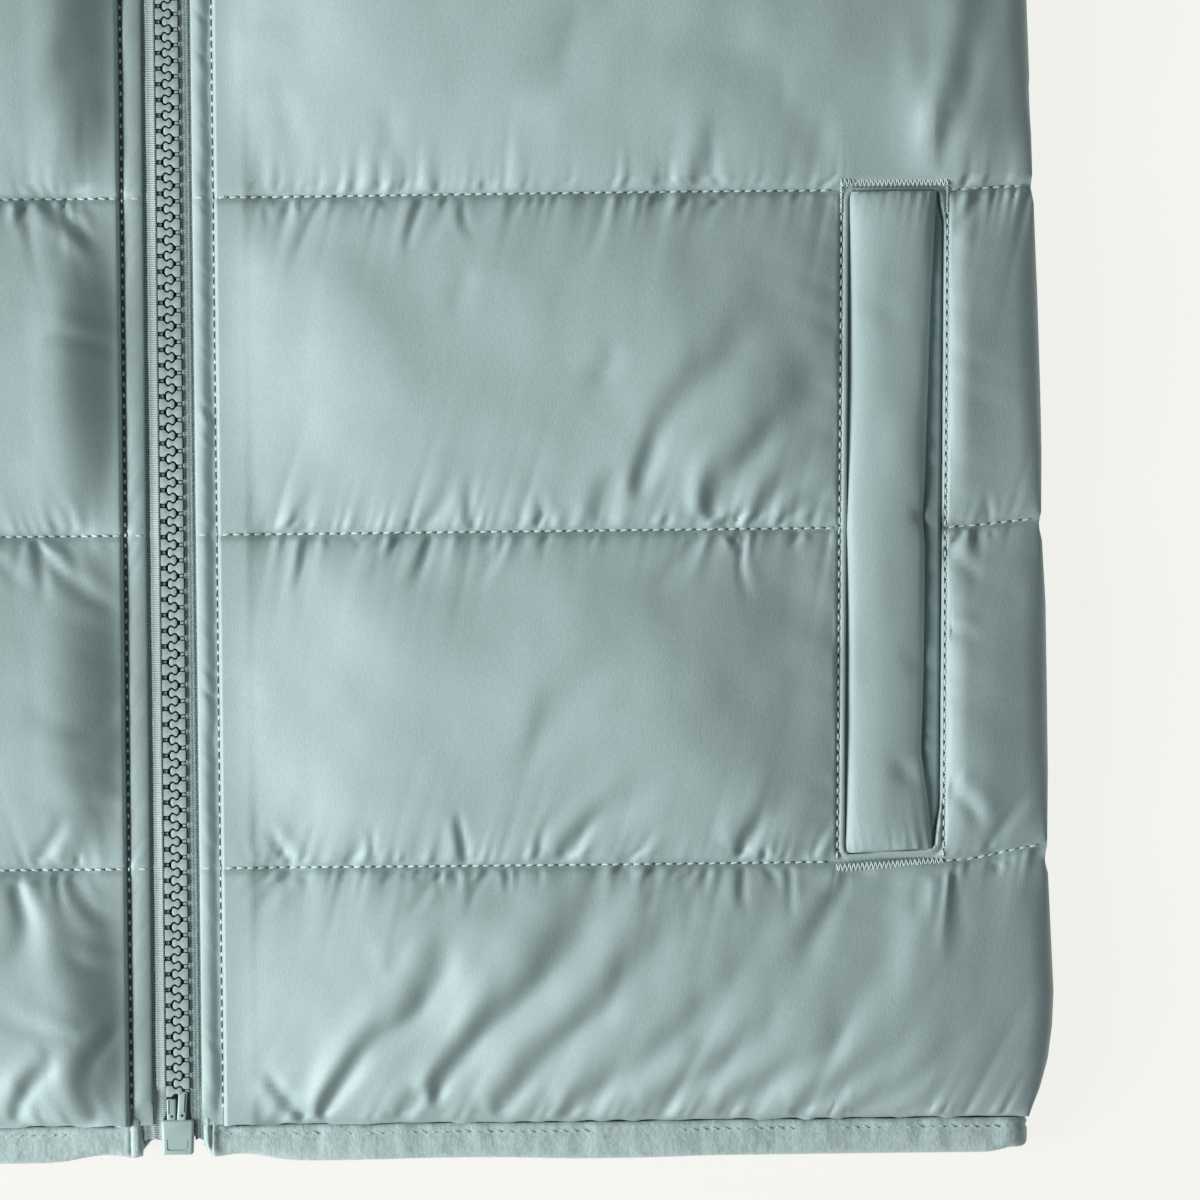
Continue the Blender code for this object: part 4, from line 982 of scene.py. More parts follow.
collar = {"frontTop": 477.0, "backTop": 518.0, "sideTop": 521.5, "sideX": 61.0, "frontZ": 7.45,
          "foldInset": 2.5, "foldClearance": 1.0, "endX": 5.4, "rounding": 0.05, "flatSteps": 26}


def collarStation(x, neck, middle, z, side, lift):
    root = float(neck(np.array(x))) + 2 * garment["seamGap"]
    topX = x * collar["sideX"] / garment["neckX"]
    top = middle + (collar["sideTop"] - middle) * (topX / collar["sideX"]) ** 2
    return (np.array([x * side, root, z]), np.array([(topX - x) * side, top - root, 0.0]), lift)


def collarStations():
    seamX = garment["neckX"] - collar["foldInset"]
    lift = garment["neckH"] + collar["foldClearance"] - float(frontNeck(np.array(seamX)))
    halves = {1: [], -1: []}
    for side in halves:
        for x in np.linspace(collar["endX"], seamX, 42):
            z = collar["frontZ"] + front["zipRaise"] * float(1.0 - smoothStep((x - 15.0) / 26.0))
            z -= (collar["frontZ"] - strip["upperZ"]) * float(smoothStep((x - seamX + 6.0) / 6.0))
            halves[side].append(collarStation(x, frontNeck, collar["frontTop"], z, side, up))
        halves[side] += foldRound(halves[side][-1], (float(side), 0.0, 0.0), lift)
    backHalf = np.linspace(seamX, 0.0, 36)
    places = [(x, 1) for x in backHalf] + [(x, -1) for x in backHalf[-2::-1]]
    below = [collarStation(x, backNeck, collar["backTop"], strip["lowerZ"], side, down) for x, side in places]
    return halves[1] + below + halves[-1][::-1]


# Padded band: fuller in the middle, stitched near its top edge, gathered at its root
def collarShape(along, reach, lift):
    middle = 0.5 * np.sin(pi * np.clip(reach, 0.0, 1.0)) * np.where(lift > 0, 1.0, 0.6)
    stitched = 0.55 * hill(reach - 0.9, 0.02)
    gather = 0.5 * gathered(along / 6.0, 1.0, 71) * np.exp(-reach / 0.22)
    uneven = 0.35 * noise(along / 17.0, reach * 2.5, 72)
    return middle + uneven + gather - stitched - 0.4 * np.exp(-reach / 0.04)


collarProfile = stripProfile(collar["rounding"], collar["flatSteps"])
collarBand = sweep("collarBand", collarStations(), collarProfile, shellCloth, collarShape)
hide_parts("collar")
print("strips done")

# Pocket welts and the pocket cloth behind them
welt = {"left": 141.8, "bottom": 64.2, "top": 202.45, "baseZ": 9.75, "rise": 3.7,
        "right": ((65.0, 160.2), (70.0, 159.8), (76.0, 159.1), (85.0, 157.8), (100.0, 158.2), (128.0, 158.4),
                  (134.0, 157.8), (140.0, 158.2), (180.0, 159.2), (202.0, 160.3)),
        "dents": ((153.6, 80.6, 0.6, 2.6), (157.5, 134.0, 0.8, 1.5), (156.0, 104.0, 0.3, 3.0),
                  (150.0, 178.0, 0.3, 4.0))}


def buildWelt(name, side, seed):
    tableH, tableX = np.array(welt["right"]).T
    h = np.append(spaced(welt["bottom"], welt["top"], 0.8), welt["top"])[:, None]
    u = np.linspace(0.0, 1.0, 40)[None, :]
    u = 0.5 - 0.5 * np.cos(pi * u)
    left = welt["left"] + pocketShift(h)
    right = np.interp(h, tableH, tableX) + pocketShift(h)
    x = left + (right - left) * u
    h = h + pocket["bottomTilt"] * (x - pocket["middle"]) * smoothStep((80.0 - h) / 15.0)
    end = np.minimum(h - h[:1], h[-1:] - h)
    arch = (4.0 * u * (1.0 - u) + 1e-9) ** 0.3 * (0.45 + 0.55 * roundRise(end + 0.3, 7.0))
    top = welt["baseZ"] + welt["rise"] * arch + 0.5 * (0.5 - u)
    pleats = 0.75 * gathered(x / 1.3 + 0.12 * end, 1.0, seed) * np.exp(-end / 3.5)
    top = top + pleats * smoothStep(u * (1 - u) * 12.0)
    top = top + 0.3 * noise(x / 7.0, h / 15.0, seed + 1) * smoothStep(u * (1 - u) * 8.0)
    for dentX, dentH, depth, size in welt["dents"]:
        away = (x - dentX) ** 2 + ((h - dentH) + 0.4 * (x - dentX)) ** 2
        top = top - depth * np.exp(-away / size ** 2)
    low = np.full(x.shape, welt["baseZ"])
    item = slab(name, x * side, h, np.maximum(top, welt["baseZ"] + 0.3), low, 5, shellCloth)
    return item


lining = {"left": 142.4, "width": 18.0, "bottom": 64.9, "top": 201.4, "lowZ": 8.7, "z": 9.25, "rise": 0.9,
          "dip": 0.8}


def buildPocketCloth(name, side, seed):
    h = np.append(spaced(lining["bottom"], lining["top"], 1.0), lining["top"])[:, None]
    u = np.append(np.linspace(0.0, 0.7, 6), np.linspace(0.74, 1.0, 22))[None, :]
    x = lining["left"] + pocketShift(h) + (lining["width"] + 1.2 * slitRoom(h)) * u
    x, h = np.broadcast_arrays(x, h)
    slit = smoothStep((u - 0.75) / 0.1)
    folds = 0.35 * gathered((h + 0.4 * x) / 3.4, 2.0, seed) * slit + 0.15 * noise(h / 2.0, x / 4.0, seed + 1)
    top = lining["z"] + lining["rise"] * smoothStep((u - 0.76) / 0.1)
    top = top - lining["dip"] * smoothStep((u - 0.97) / 0.03) + np.clip(folds, -0.3, 0.35)
    item = slab(name, x * side, h, top, np.full(x.shape, lining["lowZ"]), 4, pocketClothPaintedShade)
    return item


for name, node, side in (("Left", "left", 1), ("Right", "right", -1)):
    weltPiece = buildWelt("pocketWelt" + name, side, 81 + side)
    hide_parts("pocket_welt_" + node)
    clothPiece = buildPocketCloth("pocketClothPaintedShade" + name, side, 85 + side)
    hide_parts("pocket_cloth_" + node)

# Zip tapes, teeth, bottom parts and slider
zipper = {"tapeZ": 7.75, "tapeThickness": 0.8, "outerX": 15.0, "innerX": 2.45, "bottom": 4.8, "topH": 474.0,
          "panelBottom": 8.4, "cordX": 2.72, "cordRise": 0.3, "pitch": 3.28, "teethBottom": 15.2,
          "teethTop": 458.0, "toothHeight": 2.5, "shiftX": 0.15, "narrowX": {1: 5.2, -1: 7.2},
          "rises": {-1: ((0.0, 0.1), (4.2, 0.8), 0.75), 1: ((2.9, 0.5), (4.3, 0.7), 0.3)}}


def buildTape(name, side):
    h = np.append(spaced(zipper["bottom"], zipper["topH"], 1.3), zipper["topH"])[:, None]
    u = np.concatenate([np.linspace(0.0, 0.24, 18), np.linspace(0.3, 1.0, 8)])[None, :]
    narrow = smoothStep((zipper["panelBottom"] + 0.3 - h) / 0.3)
    outer = zipper["outerX"] * (1.0 - narrow) + zipper["narrowX"][side] * narrow
    inner = zipper["innerX"] + 1.1 * smoothStep((10.5 - h) / 1.5)
    x = inner + (outer - inner) * u
    (start, startReach), (end, endReach), rise = zipper["rises"][side]
    cord = rise * smoothStep((x - start) / startReach) * (1.0 - smoothStep((x - end) / endReach))
    cord = cord + zipper["cordRise"] * hill(x - zipper["cordX"], 0.3)
    cord = cord * smoothStep((h - 15.0) / 1.0)
    top = zipper["tapeZ"] + zipper["tapeThickness"] / 2 + cord + 0.06 * noise(x / 1.5, h / 3.0, 33)
    h = h + 0.45 * np.sin(pi * u) * smoothStep((8.0 - h) / 3.0)
    low = np.full(x.shape, zipper["tapeZ"] - zipper["tapeThickness"] / 2)
    item = slab(name, x * side + zipper["shiftX"], h, top, low, 4, tapeKnits[side])
    return item


tapeParts = {name: buildTape("zipTape" + name, side) for name, side in (("Left", 1), ("Right", -1))}
for name, item in tapeParts.items():
    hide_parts("zip_tape_" + name.lower())


def editPiece():
    bpy.ops.object.mode_set(mode='EDIT')
    bpy.ops.mesh.select_all(action='SELECT')


def bevelled(item, width, segments=2):
    bevel = item.modifiers.new("Bevel", 'BEVEL')
    bevel.width = width * millimetre
    bevel.segments = segments
    bevel.limit_method = 'ANGLE'
    bevel.angle_limit = radians(32.0)
    bpy.context.view_layer.objects.active = item
    bpy.ops.object.modifier_apply(modifier=bevel.name)


def startPiece():
    bpy.ops.object.select_all(action='DESELECT')


# Flat plate from an outline of (x, y), made upward from z = 0 with rounded rims
def modelPlate(outlinePoints, height, bevelWidth, segments=2):
    startPiece()
    bpy.ops.mesh.primitive_circle_add(vertices=len(outlinePoints), fill_type='NGON', radius=millimetre)
    item = bpy.context.active_object
    for vertex, (px, py) in zip(item.data.vertices, outlinePoints):
        vertex.co = (px * millimetre, py * millimetre, 0.0)
    editPiece()
    bpy.ops.mesh.extrude_region_move(TRANSFORM_OT_translate={"value": (0.0, 0.0, height * millimetre)})
    bpy.ops.mesh.select_all(action='SELECT')
    bpy.ops.mesh.normals_make_consistent(inside=False)
    bpy.ops.object.mode_set(mode='OBJECT')
    bevelled(item, bevelWidth, segments)
    return item


# Box of size (x, y, z) in millimetres, with its lower end (toward -y) narrowed by taper
def modelBox(size, bevelWidth, segments=3, taper=1.0):
    startPiece()
    bpy.ops.mesh.primitive_cube_add(size=1.0)
    item = bpy.context.active_object
    for vertex in item.data.vertices:
        vertex.co = [part * length * millimetre for part, length in zip(vertex.co, size)]
        if vertex.co.y < 0:
            vertex.co.x *= taper
    bevelled(item, bevelWidth, segments)
    return item


def combined(item, other, operation):
    modifier = item.modifiers.new("Combine", 'BOOLEAN')
    modifier.operation = operation
    modifier.object = other
    modifier.solver = 'EXACT'
    bpy.context.view_layer.objects.active = item
    bpy.ops.object.modifier_apply(modifier=modifier.name)
    bpy.data.objects.remove(other, do_unlink=True)


def cutAway(item, cutter):
    combined(item, cutter, 'DIFFERENCE')


# The points and faces of a modelled piece, which is then removed
def takeMesh(item):
    points = np.array([vertex.co[:] for vertex in item.data.vertices])
    faces = [list(polygon.vertices) for polygon in item.data.polygons]
    bpy.data.objects.remove(item, do_unlink=True)
    return points, faces


# One mesh of many copies: each placement is a 3x3 turn and a place in metres
def copies(name, base, placements, material, body="vest"):
    points, faces = base
    turns = np.array([turn for turn, _ in placements])
    places = np.array([place for _, place in placements])
    allPoints = np.einsum("nij,mj->nmi", turns, points) + places[:, None]
    allFaces = []
    for k in range(len(placements)):
        allFaces += [[v + k * len(points) for v in face] for face in faces]
    return addMesh(name, allPoints, allFaces, material, body)


def placedMesh(name, base, x, h, z, material, body="vest", turn=0.0):
    turned = np.array(Matrix.Rotation(turn, 3, 'Z'))
    return copies(name, base, [(turned, world(x, h, z))], material, body)


toothHalf = [(-2.42, 1.16), (-1.45, 1.2), (-1.22, 1.12), (-1.0, 0.86), (-0.8, 0.58), (-0.5, 0.45),
             (-0.2, 0.5), (0.05, 0.7), (0.3, 0.84), (0.56, 0.8), (0.78, 0.54), (0.87, 0.2)]
toothPiece = modelPlate(toothHalf + [(px, -py) for px, py in toothHalf[::-1]], zipper["toothHeight"], 0.15)
bridge = modelBox((0.85, 0.62, 1.6), 0.12, 2)
toothPoints, toothFaces = takeMesh(toothPiece)
bridgePoints, bridgeFaces = takeMesh(bridge)
bridgePoints = bridgePoints + np.array([-1.9, zipper["pitch"] / 2, 1.15]) * millimetre
tooth = (np.vstack([toothPoints, bridgePoints]),
         toothFaces + [[v + len(toothPoints) for v in face] for face in bridgeFaces])
count = int((zipper["teethTop"] - zipper["teethBottom"]) / zipper["pitch"])
toothZ = zipper["tapeZ"] - zipper["toothHeight"] / 2
for name, node, side in (("Left", "zip_teeth_left", 1), ("Right", "zip_teeth_right", -1)):
    first = zipper["teethBottom"] + (0.0 if side < 0 else zipper["pitch"] / 2)
    placements = []
    for k in range(count):
        turn = np.diag([float(-side), float(-side), 1.0])
        placements.append((turn, world(zipper["shiftX"], first + k * zipper["pitch"], toothZ)))
    teeth = copies("zipTeeth" + name, tooth, placements, plastic)
    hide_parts(node)

retainerBox = {"size": (6.9, 7.35, 3.0), "taper": 0.94, "h": 5.55, "z": 7.75, "lineZ": 1.72,
               "lineOuter": (4.7, 2.6, 1.0), "outerY": -1.55, "lineInner": (4.1, 2.6, 1.6), "innerY": -1.2}
boxPiece = modelBox(retainerBox["size"], 0.6, 4, retainerBox["taper"])
lineOuter = modelBox(retainerBox["lineOuter"], 0.5, 3)
lineOuter.location = (0.0, retainerBox["outerY"] * millimetre, retainerBox["lineZ"] * millimetre)
lineInner = modelBox(retainerBox["lineInner"], 0.4, 3)
lineInner.location = (0.0, retainerBox["innerY"] * millimetre, retainerBox["lineZ"] * millimetre)
cutAway(lineOuter, lineInner)
cutAway(boxPiece, lineOuter)
retainer = placedMesh("zipBox", takeMesh(boxPiece), 0.0, retainerBox["h"], retainerBox["z"], plastic)
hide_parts("zip_box")


pinShape = {"width": 1.9, "height": 2.2, "holeRadius": 0.32, "holeDepth": 1.2, "holeAt": (0.1, -0.3),
            "slot": (0.3, 0.62, 0.9), "slotAt": 0.12}


# A pin's hole and slot lie at shares of its length
def modelPin(length, ridge):
    pin = modelBox((pinShape["width"], length, pinShape["height"]), 0.35, 3)
    startPiece()
    pinTop = pinShape["height"] / 2 * millimetre
    holeX, holeY = pinShape["holeAt"]
    slotX, slotY, slotZ = pinShape["slot"]
    bpy.ops.mesh.primitive_cylinder_add(vertices=20, radius=pinShape["holeRadius"] * millimetre,
                                        depth=pinShape["holeDepth"] * millimetre,
                                        location=(holeX * millimetre, holeY * length * millimetre, pinTop))
    cutAway(pin, bpy.context.active_object)
    startPiece()
    bpy.ops.mesh.primitive_cube_add(size=1.0)
    slot = bpy.context.active_object
    slotSize = (slotX, slotY * length, slotZ)
    for vertex in slot.data.vertices:
        vertex.co = [part * size * millimetre for part, size in zip(vertex.co, slotSize)]
    slot.location = (ridge * millimetre, pinShape["slotAt"] * length * millimetre, pinTop)
    cutAway(pin, slot)
    return takeMesh(pin)


leftPin = placedMesh("zipPinLeft", modelPin(6.3, 0.5), 1.0, 12.0, 7.85, plastic, turn=-0.07)
rightPin = placedMesh("zipPinRight", modelPin(4.6, -0.5), -1.3, 11.3, 7.75, plastic)
for item, node in ((leftPin, "zip_pin_left"), (rightPin, "zip_pin_right")):
    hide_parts(node)


def joined(item, other):
    combined(item, other, 'UNION')


def shifted(item, x, y, z):
    for vertex in item.data.vertices:
        vertex.co = (vertex.co.x + x * millimetre, vertex.co.y + y * millimetre, vertex.co.z + z * millimetre)
    return item


def roundedOutline(width, length, lowRadius, highRadius, steps=6):
    corners = ((1, -1, lowRadius, -90), (1, 1, highRadius, 0), (-1, 1, highRadius, 90),
               (-1, -1, lowRadius, 180))
    points = []
    for sideX, sideY, radius, start in corners:
        middleX, middleY = sideX * (width / 2 - radius), sideY * (length / 2 - radius)
        for k in range(steps + 1):
            angle = radians(start + 90.0 * k / steps)
            points.append((middleX + radius * cos(angle), middleY + radius * sin(angle)))
    return points


# The slider's middle is its origin here; heights are above the floor
slider = {"h": 462.5, "width": 8.6, "length": 12.0, "topPlate": (9.35, 10.85), "bottomPlate": (5.35, 6.15),
          "waist": 0.8, "bail": (2.0, 8.0), "bailTop": 14.3, "bailBar": 1.4, "bailRoof": 1.0, "axisH": 463.0}
half, tall = slider["width"] / 2, slider["length"] / 2
plateHalf = [(half - 1.6, -tall), (half - 0.9, -tall + 0.5), (half - slider["waist"], -2.2),
             (half - 0.3, 0.8), (half, 2.6), (half, 4.2), (half - 0.9, 5.4), (half - 2.2, tall)]
plateOutline = plateHalf + [(-px, py) for px, py in plateHalf[::-1]]
(topLow, topHigh), (bottomLow, bottomHigh) = slider["topPlate"], slider["bottomPlate"]
sliderPiece = shifted(modelPlate(plateOutline, topHigh - topLow, 0.4, 3), 0.0, 0.0, topLow)
joined(sliderPiece, shifted(modelPlate(plateOutline, bottomHigh - bottomLow, 0.2), 0.0, 0.0, bottomLow))
post = modelBox((1.6, 5.0, topHigh - bottomLow - 1.0), 0.2)
joined(sliderPiece, shifted(post, 0.0, 3.1, (topHigh + bottomLow) / 2))
bailLow = topHigh - 0.5
bailY = slider["axisH"] - slider["h"]
bail = modelBox((*slider["bail"], slider["bailTop"] - bailLow), 0.6, 4)
joined(sliderPiece, shifted(bail, 0.0, bailY, (slider["bailTop"] + bailLow) / 2))
gapTop = slider["bailTop"] - slider["bailRoof"]
gapCutter = modelBox((6.0, slider["bail"][1] - 2 * slider["bailBar"], gapTop - topHigh), 0.25, 2)
cutAway(sliderPiece, shifted(gapCutter, 0.0, bailY, (gapTop + topHigh) / 2))
zipSlider = placedMesh("zipSlider", takeMesh(sliderPiece), 0.0, slider["h"], 0.0, plastic)
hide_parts("zip_slider")

pullTab = {"width": 6.5, "length": 23.0, "thickness": 1.4, "slot": (3.0, 4.8), "axisZ": 12.05,
           "panel": (3.9, 11.5), "panelDepth": 0.3, "panelY": -4.6}
tabMiddle = slider["axisH"] + (pullTab["thickness"] - pullTab["length"]) / 2
tabOutline = roundedOutline(pullTab["width"], pullTab["length"], 2.2, 1.3)
tabPiece = shifted(modelPlate(tabOutline, pullTab["thickness"], 0.35, 3), 0.0, 0.0, -pullTab["thickness"] / 2)
slotY = slider["axisH"] - (pullTab["thickness"] + pullTab["slot"][1]) / 2 - tabMiddle
cutAway(tabPiece, shifted(modelBox((*pullTab["slot"], 4.0), 0.5, 3), 0.0, slotY, 0.0))
for face in (1, -1):
    panelZ = face * (pullTab["thickness"] / 2 - pullTab["panelDepth"] + 1.0)
    cutAway(tabPiece, shifted(modelBox((*pullTab["panel"], 2.0), 0.6, 3), 0.0, pullTab["panelY"], panelZ))
tab = placedMesh("pullTab", takeMesh(tabPiece), 0.0, tabMiddle, pullTab["axisZ"], plastic, body="tab")
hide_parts("pull_tab")
print("zip done:", count, "teeth a side")

# Sewing: one stitch modelled once and laid along every seam
# The drop and length keys for the dark pieces between stitches place the painted shade of needle holes and
# furrows
sewing = {"pitch": 2.27, "length": 1.6, "radius": 0.23, "flatness": 0.8, "unevenTurn": 0.05,
          "rowRise": 0.32, "rowShadeDrop": 0.16, "rowShadeLong": 0.2, "rowYaw": 0.1, "rowEnds": (10.4, 0.6),
          "furrowLong": 0.55, "furrowShadeDrop": 0.1, "furrowShadeLong": 1.1, "furrowEnds": (11.0, 418.0),
          "frameRise": 0.34, "frameLong": 0.85, "frameShadeDrop": 0.14, "frameShadeLong": 0.32,
          "frameEnds": (62.4, 203.8), "bars": ((204.35, 0.0), (61.3, 0.05)), "barReach": 1.9, "barStep": 0.46,
          "barHalf": 0.85, "cornerEnds": (198.0, 204.8), "cornerStep": 0.36, "cornerHalf": 0.24}
startPiece()
bpy.ops.mesh.primitive_uv_sphere_add(segments=6, ring_count=6, radius=1.0)
stitchPiece = bpy.context.active_object
for vertex in stitchPiece.data.vertices:
    across, rise, along = vertex.co.x, vertex.co.y, vertex.co.z
    vertex.co = (along * sewing["length"] / 2 * millimetre, across * sewing["radius"] * millimetre,
                 rise * sewing["radius"] * sewing["flatness"] * millimetre)
stitch = takeMesh(stitchPiece)


# Placements of stitches at even spacing along a line of (x, h, z) points
def stitchAlong(points, lift, seed, yaw=0.0, long=1.0, start=0.5):
    pitch = sewing["pitch"]
    points = np.array(points, float)
    steps = np.linalg.norm(np.diff(points, axis=0), axis=1)
    along = np.concatenate([[0.0], np.cumsum(steps)])
    rng = np.random.default_rng(seed)
    placements = []
    for middle in np.arange(pitch * start, along[-1] - pitch / 2, pitch):
        ends = [np.array([np.interp(middle + offset, along, points[:, k]) for k in range(3)])
                for offset in (-sewing["length"] / 2, sewing["length"] / 2)]
        forward = ends[1] - ends[0]
        forward = forward / max(np.linalg.norm(forward), 1e-6)
        normal = np.array(lift, float)
        aside = np.cross(normal, forward)
        aside = aside / np.linalg.norm(aside)
        turn = yaw + rng.normal(0.0, sewing["unevenTurn"])
        forward, aside = forward * cos(turn) + aside * sin(turn), aside * cos(turn) - forward * sin(turn)
        normal = np.cross(forward, aside)
        centre = (ends[0] + ends[1]) / 2
        placements.append((np.stack([forward * long, aside, normal], axis=1), world(*centre)))
    return placements


def frontSeam(xs, hs, look, side, rise):
    xs, hs = np.broadcast_arrays(np.asarray(xs, float), np.asarray(hs, float))
    z = frontZ(xs, hs, look) + rise
    return [(px * side, ph, pz) for px, ph, pz in zip(xs, hs, z)]


# Painted shade: dark pieces sunk between the stitches of a line, standing in for the shade in the needle
# holes
def paintedShadeUnder(line, drop, seed, long):
    lowered = [(px, ph, pz - drop) for px, ph, pz in line]
    return stitchAlong(lowered, (0, 0, 1), seed, long=long, start=1.0)


def frontStitches(look, side):
    placements, paintedShades = [], []
    for index, row in enumerate(garment["rows"]):
        inner, margin = sewing["rowEnds"]
        outer = float(outerX(np.array(row + garment["rowLifts"][index]))) - margin
        spans = [(inner, outer)]
        if row < pocketGap["top"]:
            shift = float(pocketShift(np.array(row)))
            spans = [(inner, pocket["left"] + shift - 1.9), (pocket["right"] + shift + 2.0, outer)]
        for start, end in spans:
            xs = np.arange(start, end, 0.6)
            hs = rowHeights(xs)[index]
            line = frontSeam(xs, hs, look, side, sewing["rowRise"])
            placements += stitchAlong(line, (0, 0, 1), 200 + index, yaw=sewing["rowYaw"] * side)
            paintedShades += paintedShadeUnder(line, sewing["rowShadeDrop"], 205, sewing["rowShadeLong"])
        xs = np.arange(5.6, 9.4, 0.4)
        line = [(px * side, row, pz) for px, pz in zip(xs, rollZ(xs, row + 0.0 * xs, look) + 0.12)]
        placements += stitchAlong(line, (0, 0, 1), 210 + index)
    hs = np.arange(*sewing["furrowEnds"], 0.6)
    z = frontZ(front["furrowX"] + 0.0 * hs, hs, look)
    line = [(front["furrowX"] * side, ph, pz) for ph, pz in zip(hs, z + look["furrowStitch"])]
    placements += stitchAlong(line, (0, 0, 1), 220, long=sewing["furrowLong"])
    # Long dark pieces along the zip furrow: painted shadow of the furrow
    paintedShades += paintedShadeUnder(line, sewing["furrowShadeDrop"], 221, sewing["furrowShadeLong"])
    return placements, paintedShades


def pocketStitches(look, side):
    placements, paintedShades = [], []
    for base, sign in ((pocket["left"], -1.0), (pocket["right"], 1.0)):
        hs = np.arange(*sewing["frameEnds"], 0.6)
        xs = base + sign * pocket["stitch"] + pocketShift(hs)
        line = frontSeam(xs, hs, look, side, sewing["frameRise"])
        placements += stitchAlong(line, (0, 0, 1), 231 + int(sign), long=sewing["frameLong"])
        paintedShades += paintedShadeUnder(line, sewing["frameShadeDrop"], 235, sewing["frameShadeLong"])
    return placements, paintedShades


# Dense zigzag bars across the pocket's ends, and down its two upper corners
def barStitches(look, side):
    placements, paintedShades = [], []
    for middle, tilt in sewing["bars"]:
        shift = float(pocketShift(np.array(middle)))
        start = pocket["left"] - sewing["barReach"] + shift
        end = pocket["right"] + sewing["barReach"] + shift
        xs = np.arange(start, end, sewing["barStep"])
        centre = middle + tilt * (xs - (start + end) / 2)
        away = np.where(np.arange(len(xs)) % 2 == 0, 1.0, -1.0)
        z = frontZ(xs, centre, look)
        placements += zigzag(xs * side, centre + sewing["barHalf"] * away, z + 0.3)
        for px, ph, pz in zip(xs * side, centre + away, z):
            # Dark pieces at the zigzag's points: painted shade in its needle holes
            paintedShades.append((np.diag([0.13, 0.75, 1.0]), world(px, ph, pz + 0.05)))
    for base, sign in ((pocket["left"], -1.0), (pocket["right"], 1.0)):
        hs = np.arange(*sewing["cornerEnds"], sewing["cornerStep"])
        xs = base + sign * pocket["stitch"] + pocketShift(hs)
        z = frontZ(xs, hs, look) + 0.45
        swing = np.where(np.arange(len(xs)) % 2 == 0, sewing["cornerHalf"], -sewing["cornerHalf"])
        placements += zigzag((xs + swing) * side, hs, z)
    return placements, paintedShades


def zigzag(xs, hs, zs):
    placements = []
    for x0, h0, z0, x1, h1 in zip(xs, hs, zs, xs[1:], hs[1:]):
        angle = atan2(h1 - h0, x1 - x0)
        long = hypot(x1 - x0, h1 - h0) / sewing["length"] * 1.1
        turn = np.array(Matrix.Rotation(angle, 3, 'Z')) @ np.diag([long, 0.75, 1.0])
        placements.append((turn, world((x0 + x1) / 2, (h0 + h1) / 2, z0)))
    return placements


for name, side, look in (("Left", 1, leftLook), ("Right", -1, rightLook)):
    seams, seamPaintedShades = frontStitches(look, side)
    frames, framePaintedShades = pocketStitches(look, side)
    bars, barPaintedShades = barStitches(look, side)
    copies("stitchesFront" + name, stitch, seams + frames + bars, thread)
    # Dark pieces between the stitches: painted shade
    copies("paintedNeedleShades" + name, stitch, seamPaintedShades + framePaintedShades + barPaintedShades, paintedNeedleShade)


def trimStitches():
    placements = []
    z = strip["upperZ"] + strip["thickness"] / 2 - 0.25
    for side, end in hemBinding["ends"].items():
        xs = np.arange(end + 2.4, foldX + 1.5, 0.8)
        line = [(px * side, ph, z) for px, ph in zip(xs, hemTop(xs, side) - hemBinding["stitchDrop"])]
        placements += stitchAlong(line, (0, 0, 1), 240, yaw=-0.3 * side)
    lowZ = strip["lowerZ"] - strip["thickness"] / 2 + 0.25
    xs = np.arange(-foldX, foldX, 0.8)
    placements += stitchAlong([(px, 6.0, lowZ) for px in xs], (0, 0, -1), 241)
    for side in (1, -1):
        for level, outward in ((z, 1), (lowZ, -1)):
            px, ph = armholePoint(np.linspace(0.01, 0.995, 300), garment["bindingWidth"] - 1.8)
            placements += stitchAlong([(a * side, b, level) for a, b in zip(px, ph)], (0, 0, outward), 243)
    return placements


copies("stitchesTrim", stitch, trimStitches(), trimThread)


def backStitches():
    placements = []
    for index, row in enumerate(garment["rows"]):
        outer = float(outerX(np.array(row))) - 1.0
        xs = np.arange(-outer, outer, 0.8)
        z = backOutside(xs, rowHeights(xs)[index]) - 0.12
        line = [(px, ph, pz) for px, ph, pz in zip(xs, rowHeights(xs)[index], z)]
        placements += stitchAlong(line, (0, 0, -1), 250 + index)
    return placements


copies("stitchesBack", stitch, backStitches(), thread)

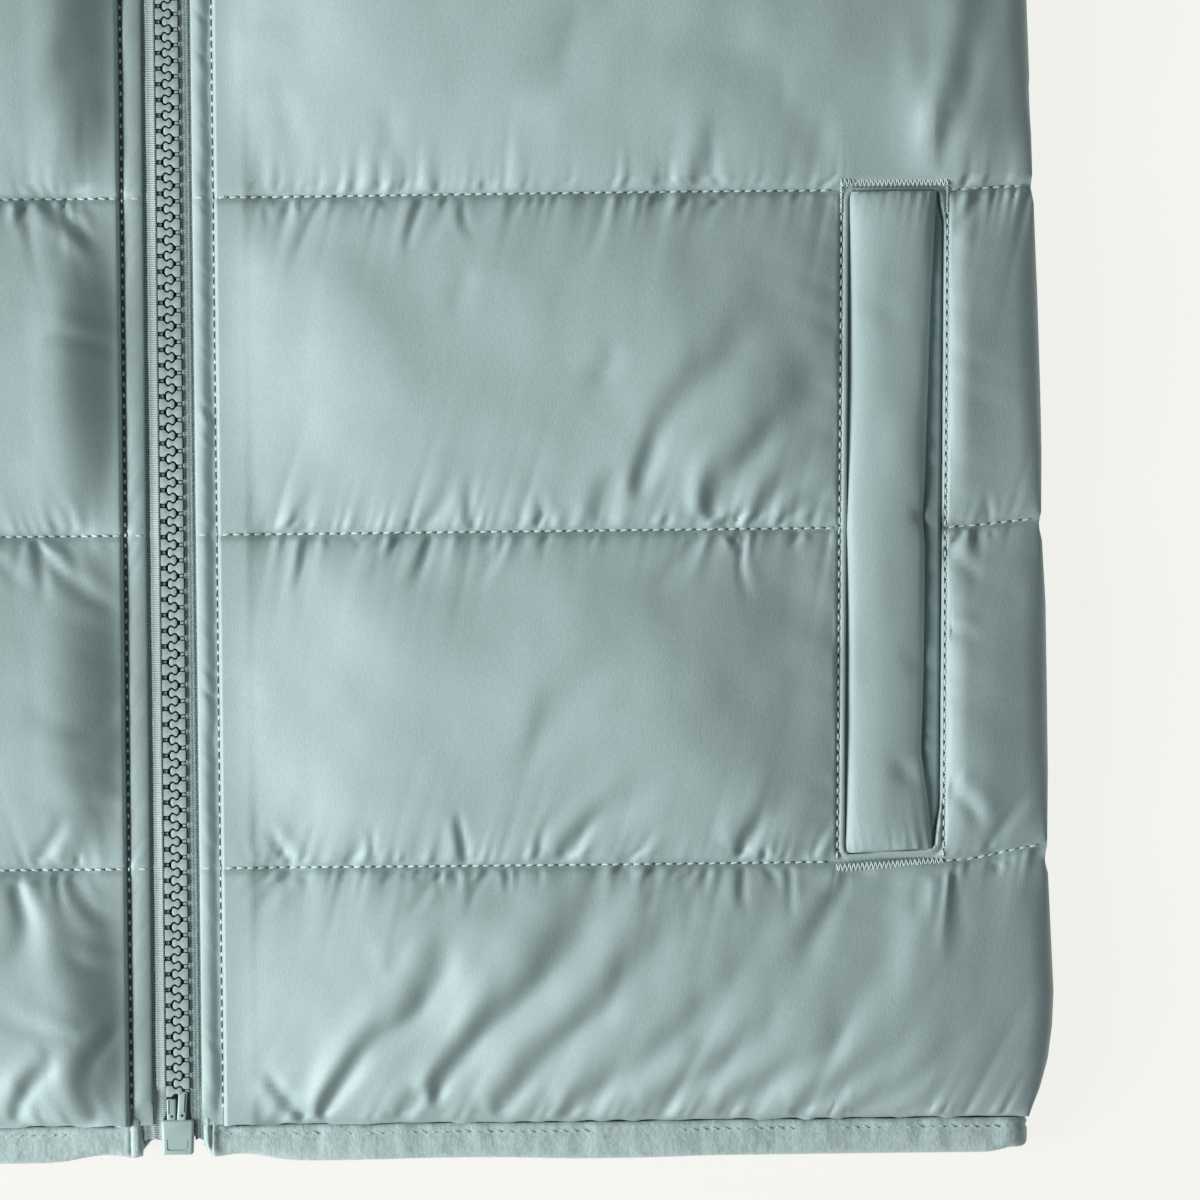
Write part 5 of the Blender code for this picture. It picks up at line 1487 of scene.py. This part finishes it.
# Floor, light and camera
studio = {"floorZ": -0.0006, "floorSize": 6.0, "floorColour": (0.92, 0.922, 0.882), "floorGlow": 0.93,
          "world": 0.2, "worldColour": (0.92, 1.0, 1.01), "keyEnergy": 30.0, "keySize": 0.8,
          "keyDistance": 1.3, "keyDirection": (-0.82, -0.2, 0.46)}
view = {"middle": (0.0899, -0.1432), "field": 0.252, "distance": 1.6, "turn": -0.011, "sharpAt": 0.009,
        "sensor": 36.0}

bpy.ops.mesh.primitive_plane_add(size=studio["floorSize"], location=(0.0, 0.0, studio["floorZ"]))
floor = bpy.context.active_object
floor.name = "studioFloor"
floorMaterial = bpy.data.materials.new("paleFloor")
floorMaterial.use_nodes = True
tree = floorMaterial.node_tree
tree.nodes.clear()
glow = addNode(tree, "ShaderNodeEmission", {"Color": (*studio["floorColour"], 1.0), "Strength": 1.0})
matt = addNode(tree, "ShaderNodeBsdfDiffuse", {"Color": (*studio["floorColour"], 1.0)})
mix = addNode(tree, "ShaderNodeMixShader", {0: studio["floorGlow"], 1: matt.outputs[0], 2: glow.outputs[0]})
addNode(tree, "ShaderNodeOutputMaterial", {0: mix.outputs[0]})
floor.data.materials.append(floorMaterial)

scene = bpy.context.scene
scene.view_settings.view_transform = 'Standard'
scene.view_settings.look = 'None'
scene.world = bpy.data.worlds.new("studio")
scene.world.use_nodes = True
background = scene.world.node_tree.nodes["Background"]
background.inputs["Color"].default_value = (*studio["worldColour"], 1.0)
background.inputs["Strength"].default_value = studio["world"]

target = Vector((*view["middle"], 0.0))
direction = Vector(studio["keyDirection"]).normalized()
keyData = bpy.data.lights.new("keyLight", 'AREA')
keyData.energy = studio["keyEnergy"]
keyData.size = studio["keySize"]
key = bpy.data.objects.new("keyLight", keyData)
key.location = target + direction * studio["keyDistance"]
key.rotation_euler = (-direction).to_track_quat('-Z', 'Y').to_euler()
scene.collection.objects.link(key)

cameraData = bpy.data.cameras.new("camera")
cameraData.sensor_width = view["sensor"]
cameraData.lens = view["sensor"] * (view["distance"] - view["sharpAt"]) / view["field"]
camera = bpy.data.objects.new("camera", cameraData)
camera.location = (*view["middle"], view["distance"])
camera.rotation_euler = (0.0, 0.0, view["turn"])
scene.collection.objects.link(camera)
scene.camera = camera
